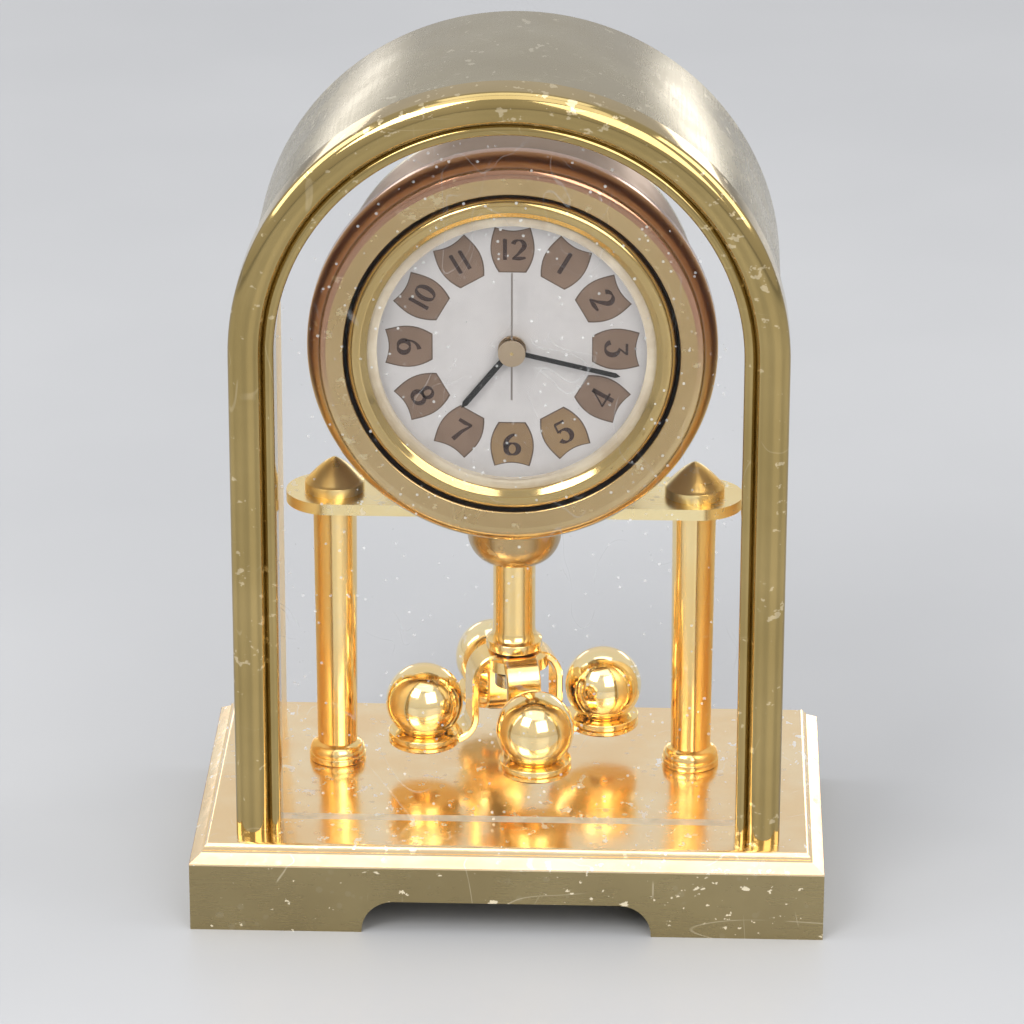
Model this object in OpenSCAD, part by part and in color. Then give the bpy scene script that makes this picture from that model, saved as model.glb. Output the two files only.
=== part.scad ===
// Miniature anniversary clock: an arched brass case with a glass front stands on a
// moulded plinth. Two pillars carry a plate with the dial head on it, and a pendulum of
// four balls turns on a pivot under the head.
// Millimetres, +Z up, -Y towards the viewer. The origin is under the middle of the base.

/* [Base] */
// Width of the plinth
base_w = 54; // [50:1:60]
// Depth of the plinth
base_d = 32.5; // [32:0.5:36]
// Height of the plain plinth block
block_h = 6; // [5.5:0.25:7]
// Height of the polished deck above the table
deck_h = 7.5; // [7.3:0.1:8]
// Width of the opening between the bracket feet
foot_gap_w = 24.7; // [20:0.5:26]
// Height of the opening between the bracket feet
foot_gap_h = 2.9; // [2:0.1:3.2]

/* [Case] */
// Height of the centre of the arch above the table
arch_z = 50.9; // [50.5:0.1:54]
// Outer radius of the front moulding
mould_r = 23.2; // [23:0.1:23.6]
// Inner radius of the front moulding
mould_inner_r = 19.4; // [19:0.1:19.8]
// Outer radius of the case band
band_r = 22.6; // [22.4:0.1:22.9]
// Thickness of the case band
band_t = 1.9; // [1.6:0.1:2]
// Front of the moulding
mould_y = -13.6; // [-14:0.1:-13.5]
// Back edge of the case band
band_back_y = 12; // [10:0.1:13.5]

/* [Head] */
// Height of the centre of the dial above the table
head_z = 48.7; // [48.5:0.1:50]
// Outer radius of the ring round the dial
ring_r = 17.3; // [17:0.1:17.6]
// Visible radius of the dial
dial_r = 11.95; // [11.5:0.05:11.95]

/* [Pillars and pendulum] */
// Distance of each pillar from the middle
pillar_x = 15.55; // [15.3:0.05:15.7]
// Depth position of the pillars and the pendulum
pillar_y = 3.2; // [3.1:0.1:3.5]
// Radius of a pillar at its top
pillar_r = 1.9; // [1.7:0.05:2]
// Radius of a pendulum ball
ball_r = 3.4; // [3:0.1:3.4]
// Radius of the circle of the pendulum balls
ball_ring_r = 8.05; // [7.8:0.05:8.05]
// Height of the centres of the pendulum balls
ball_z = 13.9; // [13.8:0.05:14]
// Angle at which the pendulum rests
pendulum_a = 15; // [0:5:90]

/* [Hands] */
// Angle of the hour hand, clockwise from twelve
hour_a = 219; // [0:1:359]
// Angle of the minute hand, clockwise from twelve
minute_a = 103; // [0:1:359]

/* [Hidden] */
$fn = 64;
e = 0.01;
brass = [0.80, 0.66, 0.36];
orange_brass = [0.92, 0.70, 0.34];
steel = [0.72, 0.72, 0.72];

plate_half_l = 19.75;
plate_half_d = 3.8;
mould_back_y = -9.75;
band_in_r = band_r - band_t;
pane_t = 1.2;
cavity_x = 17.6;
cavity_y = base_d / 2 - 2.2;
cavity_h = block_h - 2.4;

// Screws that rise through the plinth: radius of the shank and of the head
pillar_screw = [1, 1.9];
case_screw = [0.8, 1.5];
band_screw = [0.5, 1];
case_screw_at = [21.3, -11.8];
band_screw_at = [21.65, 8.2];
thread_depth = 4.4;
band_thread = 3;
tap_gap = 0.2;
hole_gap = 0.1;

// Housing of the head, as radius and depth along Y
ring_front = -5.6;
ring_back = -2.2;
bore_r = 14.15;
drum_r = 15.6;
drum_back = 8.6;
cover_t = 0.6;

// Platform plate, whose top lies just under the drum
plate_t = 1;
plate_top = head_z - drum_r - 0.1;
plate_bottom = plate_top - plate_t;

// Pendulum suspension
stem_r = 1.85;
stem_top = 26.7;
stem_bottom = 18.4;
hub_top = 18.25;
stud_r = 0.8;
stud_z = 23.2;
pivot_r = 0.7;
pivot_top = 21.8;
pivot_head_r = 1.7;
pivot_head_z = [14.9, 16.1];
run_gap = 0.05;
cup_bottom = ball_z - ball_r - 0.35;
cup_top = cup_bottom + 1.1;
cup_r = 3.15;
strap_w = 3;
strap_t = 0.6;
strap_end = 0.9;
rivet_r = 0.6;

// Going train: module, teeth of wheel and pinion, and the place of each arbor
m_motion = 0.25;
m_third = 0.12;
m_centre = 4.08 / 36;
m_step = 0.21;
m_rotor = 0.11;
motion_d = 5;
third_d = 4.08;
step_d = 4.2;
rotor_d = 3.63;
third_dir = 160;
step_dir = 75;
third_at = third_d * [cos(third_dir), sin(third_dir)];
step_at = step_d * [cos(step_dir), sin(step_dir)];
rotor_at = step_at + [rotor_d, 0];
setting_at = [0, -motion_d];
arbor_r = 0.5;
battery_at = [-5.2, -4.6];
battery_r = 3.4;
train_y = [-0.6, 2.9];
main_plate_y = [-1.6, -0.6];
bridge_y = [2.9, 3.6];
case_rear_y = [6.9, 7.5];

// ---------- helpers ----------

// Puts a shape drawn about Z round the head's axis: local Z becomes +Y, local Y points down
module on_head(at = [0, 0]) {
    translate([at[0], 0, head_z + at[1]]) rotate([-90, 0, 0]) children();
}

// A disc or tube on the head's axis, from y0 to y1
module head_tube(r, y0, y1, bore = 0, at = [0, 0]) {
    on_head(at) translate([0, 0, y0]) difference() {
        cylinder(r = r, h = y1 - y0);
        if (bore > 0) translate([0, 0, -1]) cylinder(r = bore, h = y1 - y0 + 2);
    }
}

// An upright rod from z0 to z1
module post(r, z0, z1) {
    translate([0, 0, z0]) cylinder(r = r, h = z1 - z0);
}

module both_sides() {
    children();
    mirror([1, 0, 0]) children();
}

// Points of an arc about c, with separate radii across and along
function arc(c, rx, ry, a0, a1, n) =
    [for (i = [0:n]) let (a = a0 + (a1 - a0) * i / n) c + [rx * cos(a), ry * sin(a)]];

// Sweeps a section of radius and depth up one leg, round the arch and down the other
module arch_sweep(section) {
    both_sides() translate([0, 0, deck_h])
        linear_extrude(arch_z - deck_h) polygon(section);
    translate([0, 0, arch_z]) rotate([-90, 0, 0]) rotate([0, 0, 180])
        rotate_extrude(angle = 180) polygon(section);
}

// Half outline of the deck moulding, from the block edge up to the deck
function moulding(h) = concat(
    [[h, block_h], [h, block_h + 0.15], [h - 1, block_h + 0.8], [h - 1, block_h + 0.98],
     [h - 1.15, block_h + 0.98]],
    arc([h - 1.75, block_h + 0.98], 0.6, deck_h - block_h - 0.98, 15, 90, 5));
function mirrored(pts) =
    concat(pts, [for (i = [len(pts) - 1:-1:0]) [-pts[i][0], pts[i][1]]]);

// A bar with the given end outline, its outline mitred on all four sides
module mitred_plate(w, d) {
    intersection() {
        rotate([90, 0, 0]) linear_extrude(d, center = true)
            polygon(mirrored(moulding(w / 2)));
        rotate([90, 0, 90]) linear_extrude(w, center = true)
            polygon(mirrored(moulding(d / 2)));
    }
}

// Gear outline: straight-flanked teeth with generous backlash; tooth 0 points along a0
module gear(teeth, m, a0 = 0) {
    pitch = 360 / teeth;
    root = m * (teeth / 2 - 0.95);
    tip = m * (teeth / 2 + 0.65);
    polygon([for (i = [0:teeth - 1]) for (p = [[-0.3, root], [-0.11, tip], [0.11, tip], [0.3, root]])
        p[1] * [cos(a0 + (i + p[0]) * pitch), sin(a0 + (i + p[0]) * pitch)]]);
}

// A toothed wheel on the head's axis; a0 is seen from behind, as the arbors are drawn
module head_gear(teeth, m, y0, y1, at = [0, 0], a0 = 0) {
    on_head(at) translate([0, 0, y0]) linear_extrude(y1 - y0) gear(teeth, m, -a0);
}

// ---------- base ----------

// Opening between the bracket feet, with round upper corners
module foot_gap_2d() {
    straight = 0.15;
    corner = foot_gap_h - straight;
    translate([-foot_gap_w / 2, -1]) square([foot_gap_w, 1 + straight]);
    translate([-foot_gap_w / 2 + corner, 0]) square([foot_gap_w - 2 * corner, foot_gap_h]);
    for (x = [-1, 1]) translate([x * (foot_gap_w / 2 - corner), straight]) circle(corner);
}

// Felt pads let into the underside, clear of the screws
pad_r = 2.6;
pad_h = 0.8;
pad_x = 22.4;
pad_at = [for (x = [-pad_x, pad_x]) for (y = [-7, 12.8]) [x, y]];

module base_plinth() {
    color(brass) difference() {
        translate([-base_w / 2, -base_d / 2, 0]) cube([base_w, base_d, block_h]);
        translate([-cavity_x, -cavity_y, -1]) cube([2 * cavity_x, 2 * cavity_y, cavity_h + 1]);
        rotate([90, 0, 0]) linear_extrude(base_d + 2, center = true) foot_gap_2d();
        for (p = pad_at) translate(p) post(pad_r, -1, pad_h);
        both_sides() {
            translate([pillar_x, pillar_y]) post(pillar_screw[0] + hole_gap, -1, block_h + 1);
            for (s = [[case_screw_at, case_screw], [band_screw_at, band_screw]])
                translate(s[0]) {
                    post(s[1][0] + hole_gap, -1, block_h + 1);
                    post(s[1][1] + hole_gap, -1, cavity_h);
                }
        }
    }
}

module foot_pads() {
    color([0.16, 0.2, 0.17]) for (p = pad_at) translate(p) post(pad_r, 0, pad_h);
}

module deck_plate() {
    color(brass) difference() {
        mitred_plate(base_w, base_d);
        both_sides() {
            for (s = [[[pillar_x, pillar_y], pillar_screw], [case_screw_at, case_screw],
                    [band_screw_at, band_screw]])
                translate(s[0]) post(s[1][0] + hole_gap, block_h - 1, deck_h + 1);
        }
    }
}

// A cheese-head screw that rises through the plinth, its slot underneath
module rising_screw(s, depth) {
    head_h = 1.2;
    slot_w = 0.3 * s[1];
    slot_depth = 0.4;
    difference() {
        union() {
            post(s[1], cavity_h - head_h, cavity_h);
            post(s[0], cavity_h, deck_h + depth);
        }
        translate([-s[1] - 1, -slot_w / 2, cavity_h - head_h - 1])
            cube([2 * s[1] + 2, slot_w, 1 + slot_depth]);
    }
}

module pillar_screws() {
    color(steel) both_sides() translate([pillar_x, pillar_y, 0])
        rising_screw(pillar_screw, thread_depth);
}

module case_screws() {
    color(steel) both_sides() translate(case_screw_at) rising_screw(case_screw, thread_depth);
}

module band_screws() {
    color(steel) both_sides() translate(band_screw_at) rising_screw(band_screw, band_thread);
}

// ---------- case ----------

module case_band() {
    c = 0.15;
    color(brass) difference() {
        arch_sweep([[band_in_r, mould_back_y], [band_r, mould_back_y],
            [band_r, band_back_y - c], [band_r - c, band_back_y],
            [band_in_r + c, band_back_y], [band_in_r, band_back_y - c]]);
        both_sides() translate(band_screw_at) post(band_screw[0], deck_h - 1, deck_h + band_thread + tap_gap);
    }
}

// Section of the front moulding: a half-round bead, a narrow step and an inner lip
bead_w = 3;
bead_y = mould_y + 1;
lip_y = mould_y + 0.8;
function moulding_section() = concat(
    [[mould_inner_r, mould_back_y], [mould_r, mould_back_y]],
    arc([mould_r - bead_w / 2, bead_y], bead_w / 2, 1, 0, -180, 14),
    [[mould_r - bead_w - 0.12, bead_y], [mould_r - bead_w - 0.12, lip_y + 0.12],
     [mould_r - bead_w - 0.28, lip_y], [mould_inner_r + 0.2, lip_y],
     [mould_inner_r, lip_y + 0.2]]);

module front_moulding() {
    color(brass) difference() {
        arch_sweep(moulding_section());
        both_sides() translate(case_screw_at)
            post(case_screw[0], deck_h - 1, deck_h + thread_depth + tap_gap);
    }
}

module front_pane() {
    r = band_in_r - 0.1;
    color([0.85, 0.9, 0.92, 0.3]) {
        translate([-r, mould_back_y, deck_h]) cube([2 * r, pane_t, arch_z - deck_h]);
        translate([0, 0, arch_z]) rotate([-90, 0, 0]) rotate([0, 0, 180])
            translate([0, 0, mould_back_y]) rotate_extrude(angle = 180) square([r, pane_t]);
    }
}

// ---------- pillars and platform ----------

pillar_foot_r = 2.48;
pillar_low_r = 1.75;
nut_r = 2.58;
nut_stud_r = 0.9;
nut_stud_l = 4;

module pillar() {
    difference() {
        rotate_extrude() polygon(concat(
            [[0, deck_h], [pillar_foot_r - 0.1, deck_h], [pillar_foot_r, deck_h + 0.1],
             [pillar_foot_r, deck_h + 0.65]],
            arc([pillar_low_r + 0.05, deck_h + 0.65], 0.62, 1, 10, 80, 4),
            [[pillar_low_r, deck_h + 1.75], [pillar_r, plate_bottom - 0.2],
             [pillar_r - 0.15, plate_bottom], [0, plate_bottom]]));
        post(pillar_screw[0], deck_h - 1, deck_h + thread_depth + tap_gap);
        post(nut_stud_r, plate_bottom - nut_stud_l - tap_gap, plate_bottom + 1);
    }
}

module pillars() {
    color(orange_brass) both_sides() translate([pillar_x, pillar_y, 0]) pillar();
}

module platform_plate() {
    end_x = plate_half_l - plate_half_d;
    color(orange_brass) translate([0, pillar_y, 0]) difference() {
        translate([0, 0, plate_bottom]) linear_extrude(plate_t) union() {
            square([2 * end_x, 2 * plate_half_d], center = true);
            for (x = [-1, 1]) translate([x * end_x, 0]) circle(plate_half_d, $fn = 96);
        }
        both_sides() translate([pillar_x, 0, 0])
            post(nut_stud_r + hole_gap, plate_bottom - 1, plate_top + 1);
        post(stud_r + run_gap, plate_bottom - 1, plate_top + 1);
    }
}

// Round nut with a low pointed dome, and the stud that screws into the pillar
module finial_nut() {
    side_h = 1.4;
    dome_h = 1.6;
    dome_r = nut_r - 0.12;
    steps = 7;
    rotate_extrude() polygon(concat(
        [[0, plate_top], [nut_r, plate_top], [nut_r, plate_top + side_h - 0.15],
         [dome_r, plate_top + side_h]],
        [for (i = [1:steps]) let (t = i / steps)
            [dome_r * (1 - t), plate_top + side_h + dome_h * (t - 0.1 * sin(360 * t))]]));
    post(nut_stud_r, plate_bottom - nut_stud_l, plate_top + 0.5);
}

module finial_nuts() {
    color(orange_brass) both_sides() translate([pillar_x, pillar_y, 0]) finial_nut();
}

// ---------- head housing ----------

module head_housing() {
    foot_w = 9;
    foot_d = 5.6;
    foot_h = 2.6;
    color(brass) difference() {
        union() {
            on_head() rotate_extrude($fn = 128) polygon(concat(
                [[bore_r, drum_back], [drum_r, drum_back], [drum_r, ring_back],
                 [ring_r - 0.25, ring_back], [ring_r, ring_back - 0.25]],
                arc([ring_r - 1.5, ring_front + 2.2], 1.5, 2.2, 0, -84, 8),
                [[ring_r - 1.7, ring_front], [bore_r + 0.35, ring_front],
                 [bore_r, ring_front + 0.25]]));
            translate([-foot_w / 2, pillar_y - foot_d / 2, plate_top])
                cube([foot_w, foot_d, foot_h]);
        }
        head_tube(bore_r, -20, 20);
        translate([0, pillar_y, 0]) post(stud_r, plate_top - 1, plate_top + foot_h + 0.4);
    }
}

module rear_cover() {
    lip_w = 0.8;
    lip_l = 0.7;
    spanner_r = 0.6;
    spanner_d = 9;
    color(brass) difference() {
        union() {
            head_tube(drum_r, drum_back, drum_back + cover_t);
            head_tube(bore_r - 0.02, drum_back - lip_l, drum_back + e, bore_r - lip_w);
        }
        head_tube(arbor_r + 0.2, drum_back - 1, drum_back + 1, 0, setting_at);
        for (a = [45, 135])
            head_tube(spanner_r, drum_back - 1, drum_back + 1, 0, spanner_d * [cos(a), sin(a)]);
    }
}

// ---------- pendulum suspension ----------

// Flange under the plate, a short drum and a bell that draws in to the stem
module stem_boss() {
    flange_r = 4.7;
    drum_h = 2.6;
    neck_r = 1.9;
    bell_r = 2.2;
    bell_z = plate_bottom - drum_h;
    color(brass) translate([0, pillar_y, 0]) difference() {
        rotate_extrude() polygon(concat(
            [[0, plate_bottom], [flange_r, plate_bottom], [flange_r, plate_bottom - 1.1],
             [flange_r - 0.45, plate_bottom - 1.4], [neck_r + bell_r, bell_z]],
            arc([neck_r, bell_z], bell_r, bell_z - stem_top, -8, -84, 8),
            [[neck_r, stem_top], [0, stem_top]]));
        post(stud_r + run_gap, stem_top - 1, plate_bottom + 1);
    }
}

module pendulum_stem() {
    collar_r = 2.45;
    color(orange_brass) translate([0, pillar_y, 0]) difference() {
        rotate_extrude() polygon(concat(
            [[0, stem_top], [stem_r, stem_top]],
            arc([collar_r + 0.35, stem_bottom + 1.9], 0.95, 1.1, 180, 230, 5),
            [[collar_r, stem_bottom + 0.85], [collar_r, stem_bottom + 0.1],
             [collar_r - 0.1, stem_bottom], [0, stem_bottom]]));
        post(stud_r, stud_z - tap_gap, stem_top + 1);
        post(pivot_r, stem_bottom - 1, pivot_top + tap_gap);
    }
}

module stem_stud() {
    color(steel) translate([0, pillar_y, 0]) post(stud_r, stud_z, plate_top + 1.3);
}

module pivot_screw() {
    color(steel) translate([0, pillar_y, 0]) difference() {
        union() {
            post(pivot_head_r, pivot_head_z[0], pivot_head_z[1]);
            post(pivot_r, pivot_head_z[1], pivot_top);
        }
        translate([-3, -0.25, pivot_head_z[0] - 1]) cube([6, 0.5, 1.5]);
    }
}

// Bush in the hub of the pendulum; it turns on the shank of the pivot screw
bush_r = 1.2;
module pivot_bush() {
    bush_bottom = pivot_head_z[1] + 0.2;
    color(brass) translate([0, pillar_y, 0]) difference() {
        union() {
            post(bush_r, bush_bottom, hub_top);
            post(bush_r + 0.5, bush_bottom, hub_top - strap_t);
        }
        post(pivot_r + run_gap, bush_bottom - 1, hub_top + 1);
    }
}

// Runs a child at each of the four arms; local +X points outwards
module each_arm() {
    translate([0, pillar_y, 0]) for (i = [0:3]) rotate([0, 0, pendulum_a - 90 + 90 * i]) children();
}

// Faces of the hub and an arm, from the middle out to a cup: a shoulder, then a bend at the foot
arm_r = 4.05;
shoulder = [1.9, 15.6];
shoulder_rx = arm_r - shoulder[0];
shoulder_rz = hub_top - shoulder[1];
bend_r = 1.75;
bend = [arm_r + bend_r, cup_bottom + strap_t + bend_r];
arm_out = arc(shoulder, shoulder_rx, shoulder_rz, 90, 0, 8);
arm_in = arc(shoulder, shoulder_rx - strap_t, shoulder_rz - strap_t, 0, 90, 8);
arm_bend = arc(bend, bend_r, bend_r, 180, 270, 6);
arm_bend_in = arc(bend, bend_r + strap_t, bend_r + strap_t, 270, 180, 6);

module pendulum_spider() {
    color(orange_brass) {
        // domed hub
        translate([0, pillar_y, 0]) rotate_extrude() intersection() {
            polygon(concat([[bush_r, hub_top]], arm_out, arm_in,
                [[bush_r, hub_top - strap_t]]));
            translate([bush_r, 10]) square([1.9, 10]);
        }
        // four straps, bent down and then out
        each_arm() rotate([90, 0, 0]) linear_extrude(strap_w, center = true)
            polygon(concat([[2.6, hub_top - strap_t + 0.02], [2.6, hub_top - 0.08]],
                [for (i = [3:8]) arm_out[i]], arm_bend,
                [[ball_ring_r - cup_r + strap_end, cup_bottom + strap_t],
                 [ball_ring_r - cup_r + strap_end, cup_bottom]],
                arm_bend_in, [for (i = [0:5]) arm_in[i]]));
    }
}

module ball_cups() {
    color(orange_brass) each_arm() translate([ball_ring_r, 0, 0]) difference() {
        rotate_extrude() polygon([[0, cup_bottom], [cup_r - 0.15, cup_bottom],
            [cup_r, cup_bottom + 0.15], [cup_r, cup_bottom + 0.42],
            [cup_r - 0.18, cup_bottom + 0.5], [cup_r - 0.18, cup_bottom + 0.58],
            [cup_r, cup_bottom + 0.66], [cup_r, cup_top - 0.12],
            [cup_r - 0.12, cup_top], [0, cup_top]]);
        translate([0, 0, ball_z]) sphere(ball_r);
        translate([-cup_r - 1, -strap_w / 2, cup_bottom - 1]) cube([1 + strap_end, strap_w, 1.9]);
        post(rivet_r, cup_bottom - 1, cup_top + 1);
    }
}

module pendulum_balls() {
    color(orange_brass) each_arm() translate([ball_ring_r, 0, 0]) difference() {
        translate([0, 0, ball_z]) sphere(ball_r, $fn = 96);
        post(rivet_r, ball_z - ball_r - 1, ball_z - 1.2);
    }
}

module ball_rivets() {
    color(brass) each_arm() translate([ball_ring_r, 0, 0]) {
        post(rivet_r, cup_bottom, ball_z - 1.3);
        post(rivet_r + 0.5, cup_bottom - 0.35, cup_bottom);
    }
}

// ---------- insert: bezel, lens, dial and case ----------

lens_r = 12.6;
lens_rise = 1.05;
lens_t = 0.75;
lens_edge_y = -4.3;
function lens_y(r) = -lens_rise * (1 - pow(r / lens_r, 2));

module insert_bezel() {
    color(brass) on_head() rotate_extrude($fn = 128) polygon(concat(
        [[lens_r + 0.05, -3.4], [13.95, -3.4], [13.95, -4.9]],
        arc([13.15, -4.9], 0.8, 0.9, 0, -90, 6),
        [[12.85, -5.75], [12.3, -5.45], [12.15, -5.38], [12.15, -5.14], [lens_r + 0.05, -5.14]]));
}

module lens() {
    n = 10;
    edge = [for (i = [0:n]) [lens_r * i / n, lens_edge_y + lens_y(lens_r * i / n)]];
    color([0.9, 0.94, 0.96, 0.3]) on_head() rotate_extrude($fn = 96) polygon(concat(
        [for (p = edge) p - [0, lens_t]], [for (i = [n:-1:0]) edge[i]]));
}

module dial() {
    color([0.93, 0.92, 0.93]) head_tube(dial_r, -3.6, -3.2, 1.05);
}

module insert_case() {
    color(steel) difference() {
        union() {
            head_tube(lens_r, lens_edge_y + 0.02, case_rear_y[1], dial_r + 0.05);
            head_tube(lens_r - 0.1, case_rear_y[0], case_rear_y[1]);
        }
        head_tube(arbor_r + 0.1, case_rear_y[0] - 1, case_rear_y[1] + 1, 0, setting_at);
        head_tube(battery_r + 0.4, case_rear_y[0] - 1, case_rear_y[1] + 1, 0, battery_at);
    }
}

// Split nylon ring that grips the insert in the housing
module grip_ring() {
    color([0.9, 0.9, 0.86]) difference() {
        head_tube(bore_r - 0.03, 0.5, 3.5, lens_r + 0.03);
        translate([-0.5, -5, head_z + 5]) cube([1, 20, 20]);
    }
}

// ---------- hands ----------

// A pointed baton on a round hub that points at angle a, clockwise from twelve. y0 is the
// front of the baton and t its thickness; hub_y holds the front and back of the hub.
module hand(a, length, w, tail, y0, t, hub_r, bore, hub_y) {
    on_head() rotate([0, 0, a]) difference() {
        union() {
            translate([0, 0, y0]) linear_extrude(t)
                polygon([[-w / 2, tail], [w / 2, tail], [w / 2, -length + w], [0, -length],
                    [-w / 2, -length + w]]);
            translate([0, 0, hub_y[0]]) cylinder(r = hub_r, h = hub_y[1] - hub_y[0]);
        }
        if (bore > 0) translate([0, 0, -10]) cylinder(r = bore, h = 20);
    }
}

module hour_hand() {
    color([0.06, 0.06, 0.06])
        hand(hour_a, 6.8, 0.5, 0, -4.15, 0.12, 1.2, 0.95, [-4.2, -3.95]);
}

module minute_hand() {
    color([0.06, 0.06, 0.06])
        hand(minute_a, 9.35, 0.4, 0, -4.62, 0.12, 0.95, 0.55, [-4.7, -4.45]);
}

module second_hand() {
    color([0.45, 0.43, 0.42])
        hand(0, 7.2, 0.16, 4.2, -4.98, 0.1, 0.5, 0.15, [-5.05, -4.82]);
    color([0.62, 0.5, 0.36]) head_tube(1.15, -5.16, -4.98, 0.15);
}

// ---------- movement ----------

module main_plate() {
    color(brass) difference() {
        head_tube(dial_r, main_plate_y[0], main_plate_y[1], 0.32);
        for (h = [[third_at, 0.22], [setting_at, arbor_r + 0.03], [bridge_hole(1), 0.5],
                [bridge_hole(-1), 0.5]])
            head_tube(h[1], -3, 1, 0, h[0]);
    }
}

// Phase of a driven gear: it must show a gap where the driver shows a tooth
function mesh_phase(teeth) = teeth % 2 == 0 ? 180 / teeth : 0;

module hour_wheel() {
    color(brass) difference() {
        union() {
            head_gear(32, m_motion, -2.55, -2.25, [0, 0], 90);
            head_tube(0.95, -4.2, -2.25);
            head_tube(1.6, -2.8, -2.25);
        }
        head_tube(0.58, -6, 1);
    }
}

module cannon_pinion() {
    color(steel) difference() {
        union() {
            head_gear(10, m_motion, -2.08, -1.72, [0, 0], 90);
            head_tube(0.55, -4.7, -1.72);
        }
        head_tube(0.32, -6, 1);
    }
}

module minute_wheel() {
    color(brass) {
        head_gear(30, m_motion, -2, -1.78, setting_at, 90 + mesh_phase(30));
        head_gear(8, m_motion, -2.7, -2.1, setting_at, 90 + mesh_phase(8));
        head_tube(arbor_r, -2.9, drum_back + 1.1, 0, setting_at);
        head_tube(0.9, -2.12, -1.98, 0, setting_at);
    }
}

module centre_wheel() {
    color(brass) difference() {
        union() {
            head_gear(64, m_centre, -0.35, -0.1, [0, 0], third_dir);
            head_tube(0.3, -4.3, -0.1);
        }
        head_tube(0.18, -6, 1);
    }
}

module seconds_wheel() {
    color(brass) {
        head_gear(30, m_step, 1.25, 1.5, [0, 0], step_dir);
        head_gear(8, m_third, 0.3, 0.85, [0, 0], third_dir);
        head_tube(0.15, -5.1, 3.3);
        head_tube(0.35, 0.84, 1.26);
    }
}

module third_wheel() {
    a = third_dir + 180;
    color(brass) {
        head_gear(60, m_third, 0.45, 0.7, third_at, a + 3);
        head_gear(8, m_centre, -0.45, 0.2, third_at, a + 22.5);
        head_tube(0.2, -1.3, 3.3, 0, third_at);
    }
}

module step_wheel() {
    a = step_dir + 180;
    color(brass) {
        head_gear(60, m_rotor, 2.1, 2.35, step_at, 0);
        head_gear(10, m_step, 1.1, 1.7, step_at, a + 18);
        head_tube(0.2, 0.2, 3.3, 0, step_at);
    }
}

module rotor() {
    color(steel) {
        head_tube(1, 0.1, 1.2, 0, rotor_at);
        head_gear(6, m_rotor, 1.95, 2.6, rotor_at, 180 + 30);
        head_tube(0.15, -0.5, 3.3, 0, rotor_at);
    }
}

// The rotor runs in a hole in a square of the stator, whose two arms reach the coil's ends
coil_x = 8.6;
coil_half = 3.3;
flange_t = 0.5;

module stator() {
    y = [0.3, 0.9];
    block = 3.6;
    back_x = 5.3;
    low_z = -5.4;
    color(steel) difference() {
        translate([0, y[0], head_z]) rotate([90, 0, 0]) translate([0, 0, y[0] - y[1]])
            linear_extrude(y[1] - y[0]) {
                translate(rotor_at - [block / 2, block / 2]) square(block);
                translate(rotor_at + [1, -0.1]) square([coil_x - 3.9, 1.6]);
                translate([back_x, low_z + 0.2]) square([1.3, 9]);
                translate([back_x, low_z]) square([coil_x - 4.5, 1.4]);
            }
        head_tube(1.2, -1, 3, 0, rotor_at);
    }
}

module coil() {
    color([0.7, 0.36, 0.2]) translate([coil_x, 0.6, head_z]) {
        post(1.05, -coil_half, coil_half);
        for (z = [-coil_half - flange_t, coil_half]) post(1.1, z, z + flange_t);
    }
}

function bridge_hole(s) = [s * 7.6, -7.4];

module train_bridge() {
    color(brass) difference() {
        head_tube(11.4, bridge_y[0], bridge_y[1]);
        for (h = [[[0, 0], 0.17], [third_at, 0.22], [step_at, 0.22], [rotor_at, 0.17],
                [setting_at, arbor_r + 0.06], [bridge_hole(1), 0.5], [bridge_hole(-1), 0.5]])
            head_tube(h[1], 2, 5, 0, h[0]);
    }
    color(brass) for (s = [-1, 1]) head_tube(1, train_y[0], train_y[1], 0.5, bridge_hole(s));
}

module bridge_screws() {
    color(steel) for (s = [-1, 1]) difference() {
        union() {
            head_tube(0.5, main_plate_y[0], bridge_y[1] + e, 0, bridge_hole(s));
            head_tube(0.9, bridge_y[1], bridge_y[1] + 0.5, 0, bridge_hole(s));
        }
        on_head(bridge_hole(s)) translate([-2, -0.12, bridge_y[1] + 0.3]) cube([4, 0.24, 1]);
    }
}

module circuit_board() {
    y = [bridge_y[1] + 0.5, bridge_y[1] + 0.9];
    color([0.12, 0.35, 0.2]) difference() {
        head_tube(11, y[0], y[1]);
        translate([-15, 0, head_z - 15 + 0.8]) cube([30, 10, 15]);
    }
    color([0.05, 0.05, 0.05]) head_tube(1.6, y[1], y[1] + 0.6, 0, [3, 4]);
    color([0.12, 0.35, 0.2]) for (a = [35, 145])
        head_tube(0.8, bridge_y[1], y[0], 0, 9 * [cos(a), sin(a)]);
}

module quartz_crystal() {
    color(steel) translate([-6.5, bridge_y[1] + 1.65, head_z + 7]) rotate([0, 90, 0])
        cylinder(r = 0.75, h = 5);
}

module battery() {
    color(steel) {
        head_tube(battery_r, 4.4, 6.5, 0, battery_at);
        head_tube(battery_r - 0.5, 4, 4.4, 0, battery_at);
    }
}

// Two-armed spring that presses on the battery and reaches up to the board
module battery_contact() {
    y = 6.5;
    color(brass) {
        translate([battery_at[0] - 1, y, head_z + battery_at[1] - 1]) cube([2, 0.2, 7.2]);
        translate([battery_at[0] - 1, bridge_y[1] + 0.9, head_z + battery_at[1] + 5.9])
            cube([2, y - bridge_y[1] - 0.9 + e, 0.3]);
    }
}

module battery_hatch() {
    color(steel) difference() {
        head_tube(battery_r + 0.36, case_rear_y[0], case_rear_y[1], 0, battery_at);
        on_head(battery_at) translate([-2.4, -0.35, case_rear_y[1] - 0.3]) cube([4.8, 0.7, 1]);
    }
}

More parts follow.
